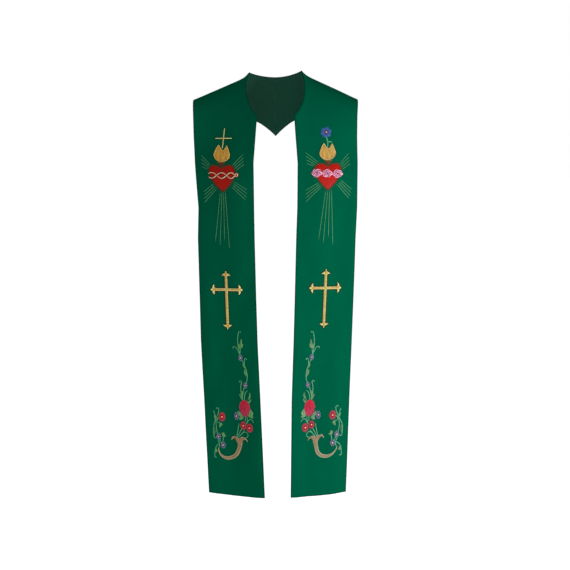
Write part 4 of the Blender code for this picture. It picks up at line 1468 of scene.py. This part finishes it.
STEM_COLUMNS = (  # in millimetres, x out from the middle; curl turns the end, left if positive
    "root_x", "root_z", "via_x", "via_z", "tip_x", "tip_z", "curl_radius", "curl_degrees"
)  # fmt: skip
STEMS = (
    (98.5, -753, 104.8, -722, 102.3, -692.5, 3.0, 200),
    (98.5, -755, 106, -741, 111.5, -733.5, 4.4, -180),
    (98.2, -763, 99, -751, 97.5, -738, 0, 0),
    (85.6, -838, 80.5, -803, 98.2, -763, 0, 0),
    (87.3, -782, 87.6, -771, 85.8, -764.5, 2.8, 200),
    (93, -880, 91, -856, 85.6, -838, 0, 0),
    (93, -880, 97.5, -852, 95.5, -830, 3.4, -270),
    (88, -880, 86, -861, 79, -852, 0, 0),
    (110.5, -983, 106.2, -962, 103.5, -945, 0, 0),
    (109, -984, 101.5, -970, 95, -957, 0, 0),
    (105, -985, 96.5, -974, 88, -963, 0, 0),
    (104, -984, 93, -970.5, 84, -967.8, 9.0, 165),
    (85.5, -938, 85.5, -930, 85.8, -922, 0, 0),
    (84.5, -946, 81, -939, 79.8, -925, 0, 0),
    (82.5, -945, 72.5, -930.5, 63.2, -939, 0, 0),
    (168, -937, 174.5, -963, 173, -988, 3.8, -180),
    (149, -1006, 162.5, -984, 168, -937, 0, 0),
    (168, -937, 160.5, -919, 160.5, -907, 3.2, -190),
    (168, -937, 169.5, -927, 174, -914, 0, 0),
    (167, -941, 163, -936, 156, -931, 0, 0),
    (166, -946, 158, -947, 154.5, -953, 0, 0),
    (149, -1000, 147.5, -990, 147, -980, 0, 0),
    (161, -1019, 158.5, -1008, 163, -995, 0, 0),
    (157, -1006, 168.1, -1016, 171.8, -1043, 2.8, -190),
)
LEAVES = (  # x and z of the base and of the tip, width (millimetres), and bend as a share of length
    (98.5, -739, 95.6, -711, 5.6, 0.02),
    (98.5, -739, 91.8, -724, 6.2, 0.0),
    (99, -741, 102.5, -724, 6.2, 0.0),
    (90.5, -774, 83.5, -792, 5.2, 0.10),
    (86.5, -790, 81.0, -814, 6.4, 0.05),
    (95, -880, 102.5, -863, 5.0, 0.10),
    (95, -872, 94.5, -852, 4.2, 0.0),
    (80.5, -880, 73.8, -857, 5.0, 0.14),
    (74, -886, 70.2, -875, 4.2, -0.08),
    (79.5, -879, 73.2, -887, 5.0, 0.0),
    (79.5, -919, 63.8, -925.2, 9.0, -0.02),
    (77.5, -923.5, 71.2, -904, 12.5, 0.20),
    (90.5, -926, 105.5, -910.4, 8.5, -0.15),
    (88.5, -926, 102.4, -934.6, 9.0, 0.10),
    (170, -940, 173.5, -926, 4.5, 0.1),
    (168, -945, 164, -934, 4.0, 0.1),
    (155, -946, 149.5, -953, 5.5, 0.15),
    (156, -946, 157.5, -960, 6.0, -0.10),
    (148.5, -987, 146.5, -973, 7.0, 0.0),
    (148.5, -986, 140, -982, 6.0, -0.15),
    (148.5, -985, 152, -975, 5.0, 0.15),
    (173.0, -955, 172.5, -985, 2.6, -0.06),
    (168, -1019, 164.5, -1030, 5.0, 0.1),
    (169, -1022, 167, -1031, 4.0, 0.1),
)
VINE_FOOT_Z = -0.880
VINE_LEAN = {"left": 0.026, "right": 0.0}  # inwards, for each metre above its foot
SPRAY_X, SPRAY_EASE = 0.128, 0.012  # where the outer spray begins, and how soon it is whole
SPRAY_RISE = {"left": 0.0055, "right": 0.0}  # it lies this much higher
OUTERMOST = {"x": 0.158, "z": -0.940, "ease_z": 0.020}  # beyond and below which its last line lies
SPRAY_SPLAY = {"left": 0.0032, "right": 0.0}  # that line lies this much further out


def stem_path(stem):
    """A stem from its root past one place to its tip, which may end in a curl."""
    root, via, tip = (np.array([stem[end + "_x"], stem[end + "_z"]]) for end in ("root", "via", "tip"))
    share = np.linspace(0.0, 1.0, 16)[:, None]
    control = 2.0 * via - (root + tip) / 2.0
    path = (1 - share) ** 2 * root + 2 * share * (1 - share) * control + share**2 * tip
    turn = radians(stem["curl_degrees"])
    if turn:
        ahead, left = heading(control, tip)[1:]
        inward = left * np.sign(turn)
        swept = np.linspace(0.0, abs(turn), 14)[1:, None]
        radius = stem["curl_radius"] * (1.0 - 0.25 * swept / abs(turn))
        centre = tip + inward * stem["curl_radius"]
        path = np.vstack([path, centre + radius * (ahead * np.sin(swept) - inward * np.cos(swept))])
    return smooth_path(path / 1000.0)


def fitted_to_side(places, side):
    """Shifts places of the spray, whose vine and outer part lie a little apart on each band."""
    places[:, 0] -= np.maximum(places[:, 1] - VINE_FOOT_Z, 0.0) * VINE_LEAN[side]
    outermost = ease((places[:, 0] - OUTERMOST["x"]) / SPRAY_EASE)
    outermost *= ease((OUTERMOST["z"] - places[:, 1]) / OUTERMOST["ease_z"])
    places[:, 1] += SPRAY_RISE[side] * ease((places[:, 0] - SPRAY_X) / SPRAY_EASE)
    places[:, 0] += SPRAY_SPLAY[side] * outermost
    return places


def make_stems_and_leaves(side):
    """The stems, tendrils and leaves of the spray."""
    bm = stitch_bmesh()
    for row in STEMS:
        path = fitted_to_side(stem_path(dict(zip(STEM_COLUMNS, row))), side)
        stem_stitch(bm, path, "stem")
    for *ends, width, bend in LEAVES:
        base, tip = fitted_to_side(np.reshape(ends, (2, 2)) / 1000.0, side)
        leaf(bm, base, tip, width / 1000.0, bend=bend, material=1, lift=0.0001)
    lay(bm, side)
    threads = []
    for name in ("stem", "leaf"):
        # Painted light: the left band gets lit copies of its threads.
        threads += thread_colours(name, lit_tint=LEFT_LIT_TINT[name] if side == "left" else None)
    new_piece("stems_and_leaves_" + side, bm, threads, None)


# ---------------------------------------------------------------- operators
class STOLE_OT_cloth(bpy.types.Operator):
    """Make the two halves of the stole"""

    bl_idname = "stole.cloth"
    bl_label = "Cloth Halves"

    def execute(self, context):
        cloth = settings("cloth")
        cloth_material("stole_face", cloth.face, 0.80, 0.0)
        cloth_material("stole_lining", cloth.lining, 0.55, 0.16)
        for side in SIDES:
            make_cloth_half(side)
        return {"FINISHED"}


class STOLE_OT_hearts(bpy.types.Operator):
    """Stitch the flaming hearts with their crowns, crests and rays"""

    bl_idname = "stole.hearts"
    bl_label = "Flaming Hearts"

    def execute(self, context):
        for side in SIDES:
            make_heart(side)
            make_flame(side)
            make_rays(side)
        make_thorn_twist("right")
        make_rose_garland("left")
        return {"FINISHED"}


class STOLE_OT_crests(bpy.types.Operator):
    """Stitch the crest over each flame"""

    bl_idname = "stole.crests"
    bl_label = "Crests"

    def execute(self, context):
        make_crest_cross("right")
        make_crest_flower("left")
        return {"FINISHED"}


class STOLE_OT_crosses(bpy.types.Operator):
    """Stitch the large gold crosses"""

    bl_idname = "stole.crosses"
    bl_label = "Gold Crosses"

    def execute(self, context):
        for side in SIDES:
            make_gold_cross(side)
        return {"FINISHED"}


class STOLE_OT_horns(bpy.types.Operator):
    """Stitch the horns of plenty"""

    bl_idname = "stole.horns"
    bl_label = "Horns of Plenty"

    def execute(self, context):
        for side in SIDES:
            make_horn(side)
        return {"FINISHED"}


class STOLE_OT_flowers(bpy.types.Operator):
    """Stitch the roses, small flowers, stems and leaves"""

    bl_idname = "stole.flowers"
    bl_label = "Flowers"

    def execute(self, context):
        for side in SIDES:
            make_stems_and_leaves(side)
            make_rose(side)
            make_red_flowers(side)
            make_blue_flowers(side)
        return {"FINISHED"}


class STOLE_OT_stage(bpy.types.Operator):
    """Set up the floor, the lights and the camera"""

    bl_idname = "stole.stage"
    bl_label = "Stage"

    def execute(self, context):
        make_floor()
        make_lights()
        make_camera()
        return {"FINISHED"}


# ---------------------------------------------------------------- stage
AIM = Vector((0.0, -0.08, -0.575))
LIGHTS = {  # place and size
    "key": ((1.55, -0.98, -0.74), 0.9),
    "fill": ((-1.8, -2.6, 1.0), 2.0),
}
WHITE, COOL_WHITE = (1.0, 1.0, 1.0, 1.0), (0.97, 0.98, 1.0, 1.0)
FLOOR_RADIUS = 24.0
SENSOR_WIDTH = 36.0  # millimetres
FRAME_SIDE = 570.0  # pixels
FRAME_SHIFT = Vector((8.5, 1.9)) / FRAME_SIDE


def make_floor():
    """A wide pale floor under the hem."""
    bm = bmesh.new()
    bmesh.ops.create_circle(bm, cap_ends=True, segments=96, radius=FLOOR_RADIUS)
    drop = settings("stage").floor_drop
    bmesh.ops.translate(bm, verts=bm.verts[:], vec=(0.0, 0.0, HEM_Z - drop))
    nodes = Nodes("pale_floor")
    cloudy = nodes.noise(nodes.add("ShaderNodeTexCoord", output=3), 0.8)
    nodes.set("Base Color", nodes.mix(cloudy, (0.90,) * 3, (0.93,) * 3))
    nodes.set("Roughness", 0.85)
    nodes.set("Emission Color", WHITE)
    nodes.set("Emission Strength", 0.55)
    floor = placed("floor", mesh_of("floor", bm, [nodes.material]))


def area_light(name, power):
    """A soft square light that looks at the aim point."""
    place, size = LIGHTS[name]
    data = bpy.data.lights.new(name, "AREA")
    data.energy, data.size = power, size
    light = placed(name, data)
    light.location = place
    light.rotation_euler = (AIM - Vector(place)).to_track_quat("-Z", "Y").to_euler()


def make_lights():
    """A large key from the wearer's left, a weak fill, and a white surround."""
    stage = settings("stage")
    for name in LIGHTS:
        area_light(name, getattr(stage, name))
    world = bpy.data.worlds.new("white surround")
    world.use_nodes = True
    nodes, links = world.node_tree.nodes, world.node_tree.links
    backdrop, surround = nodes["Background"], nodes.new("ShaderNodeBackground")
    for background, colour, strength in ((backdrop, WHITE, 1.0), (surround, COOL_WHITE, stage.sky)):
        background.inputs["Color"].default_value = colour
        background.inputs["Strength"].default_value = strength
    seen, choose = nodes.new("ShaderNodeLightPath"), nodes.new("ShaderNodeMixShader")
    links.new(seen.outputs["Is Camera Ray"], choose.inputs["Fac"])
    links.new(surround.outputs[0], choose.inputs[1])
    links.new(backdrop.outputs[0], choose.inputs[2])
    links.new(choose.outputs[0], nodes["World Output"].inputs["Surface"])
    scene = bpy.context.scene
    scene.world = world
    scene.view_settings.view_transform, scene.view_settings.look = "Standard", "None"


def make_camera():
    """A camera a little above the middle, square to the front."""
    stage = settings("stage")
    back = Vector((0.0, -cos(stage.elevation), sin(stage.elevation)))
    right = Vector((1.0, 0.0, 0.0))
    up = back.cross(right)
    turned_right = right * cos(stage.roll) + up * sin(stage.roll)
    turned_up = up * cos(stage.roll) - right * sin(stage.roll)
    data = bpy.data.cameras.new("camera")
    data.lens = stage.lens
    data.sensor_width = SENSOR_WIDTH
    data.shift_x, data.shift_y = FRAME_SHIFT
    camera = bpy.context.scene.camera = placed("camera", data)
    turn = Matrix((turned_right, turned_up, back)).transposed().to_4x4()
    camera.matrix_world = Matrix.Translation(AIM + back * stage.distance) @ turn


# ---------------------------------------------------------------- add-on
class STOLE_PT_panel(bpy.types.Panel):
    """The steps that make the stole"""

    bl_idname = "STOLE_PT_panel"
    bl_label = "Clerical Stole"
    bl_space_type = "VIEW_3D"
    bl_region_type = "UI"
    bl_category = "Stole"

    def draw(self, context):
        for step in STEPS:
            self.layout.operator(step.bl_idname)
        for name in SETTINGS:
            group = settings(name)
            box = self.layout.box()
            for key in group.bl_rna.properties.keys():
                if key not in ("rna_type", "name"):
                    box.prop(group, key)


STEPS = (
    STOLE_OT_cloth,
    STOLE_OT_hearts,
    STOLE_OT_crests,
    STOLE_OT_crosses,
    STOLE_OT_horns,
    STOLE_OT_flowers,
    STOLE_OT_stage,
)
SETTINGS = {
    "cloth": StoleClothSettings,
    "thread": StoleThreadSettings,
    "colours": StoleThreadColours,
    "stage": StoleStageSettings,
}


def register():
    """Adds the settings, the operators and the panel."""
    for name, group in SETTINGS.items():
        bpy.utils.register_class(group)
        setattr(bpy.types.Scene, "stole_" + name, PointerProperty(type=group))
    for step in STEPS:
        bpy.utils.register_class(step)
    bpy.utils.register_class(STOLE_PT_panel)


def unregister():
    """Takes them away again."""
    bpy.utils.unregister_class(STOLE_PT_panel)
    for step in reversed(STEPS):
        bpy.utils.unregister_class(step)
    for name, group in SETTINGS.items():
        delattr(bpy.types.Scene, "stole_" + name)
        bpy.utils.unregister_class(group)


def main():
    """Makes the whole stole and its stage."""
    register()
    bpy.ops.stole.cloth()
    bpy.ops.stole.hearts()
    bpy.ops.stole.crests()
    bpy.ops.stole.crosses()
    bpy.ops.stole.horns()
    bpy.ops.stole.flowers()
    bpy.ops.stole.stage()


if __name__ == "__main__":
    main()
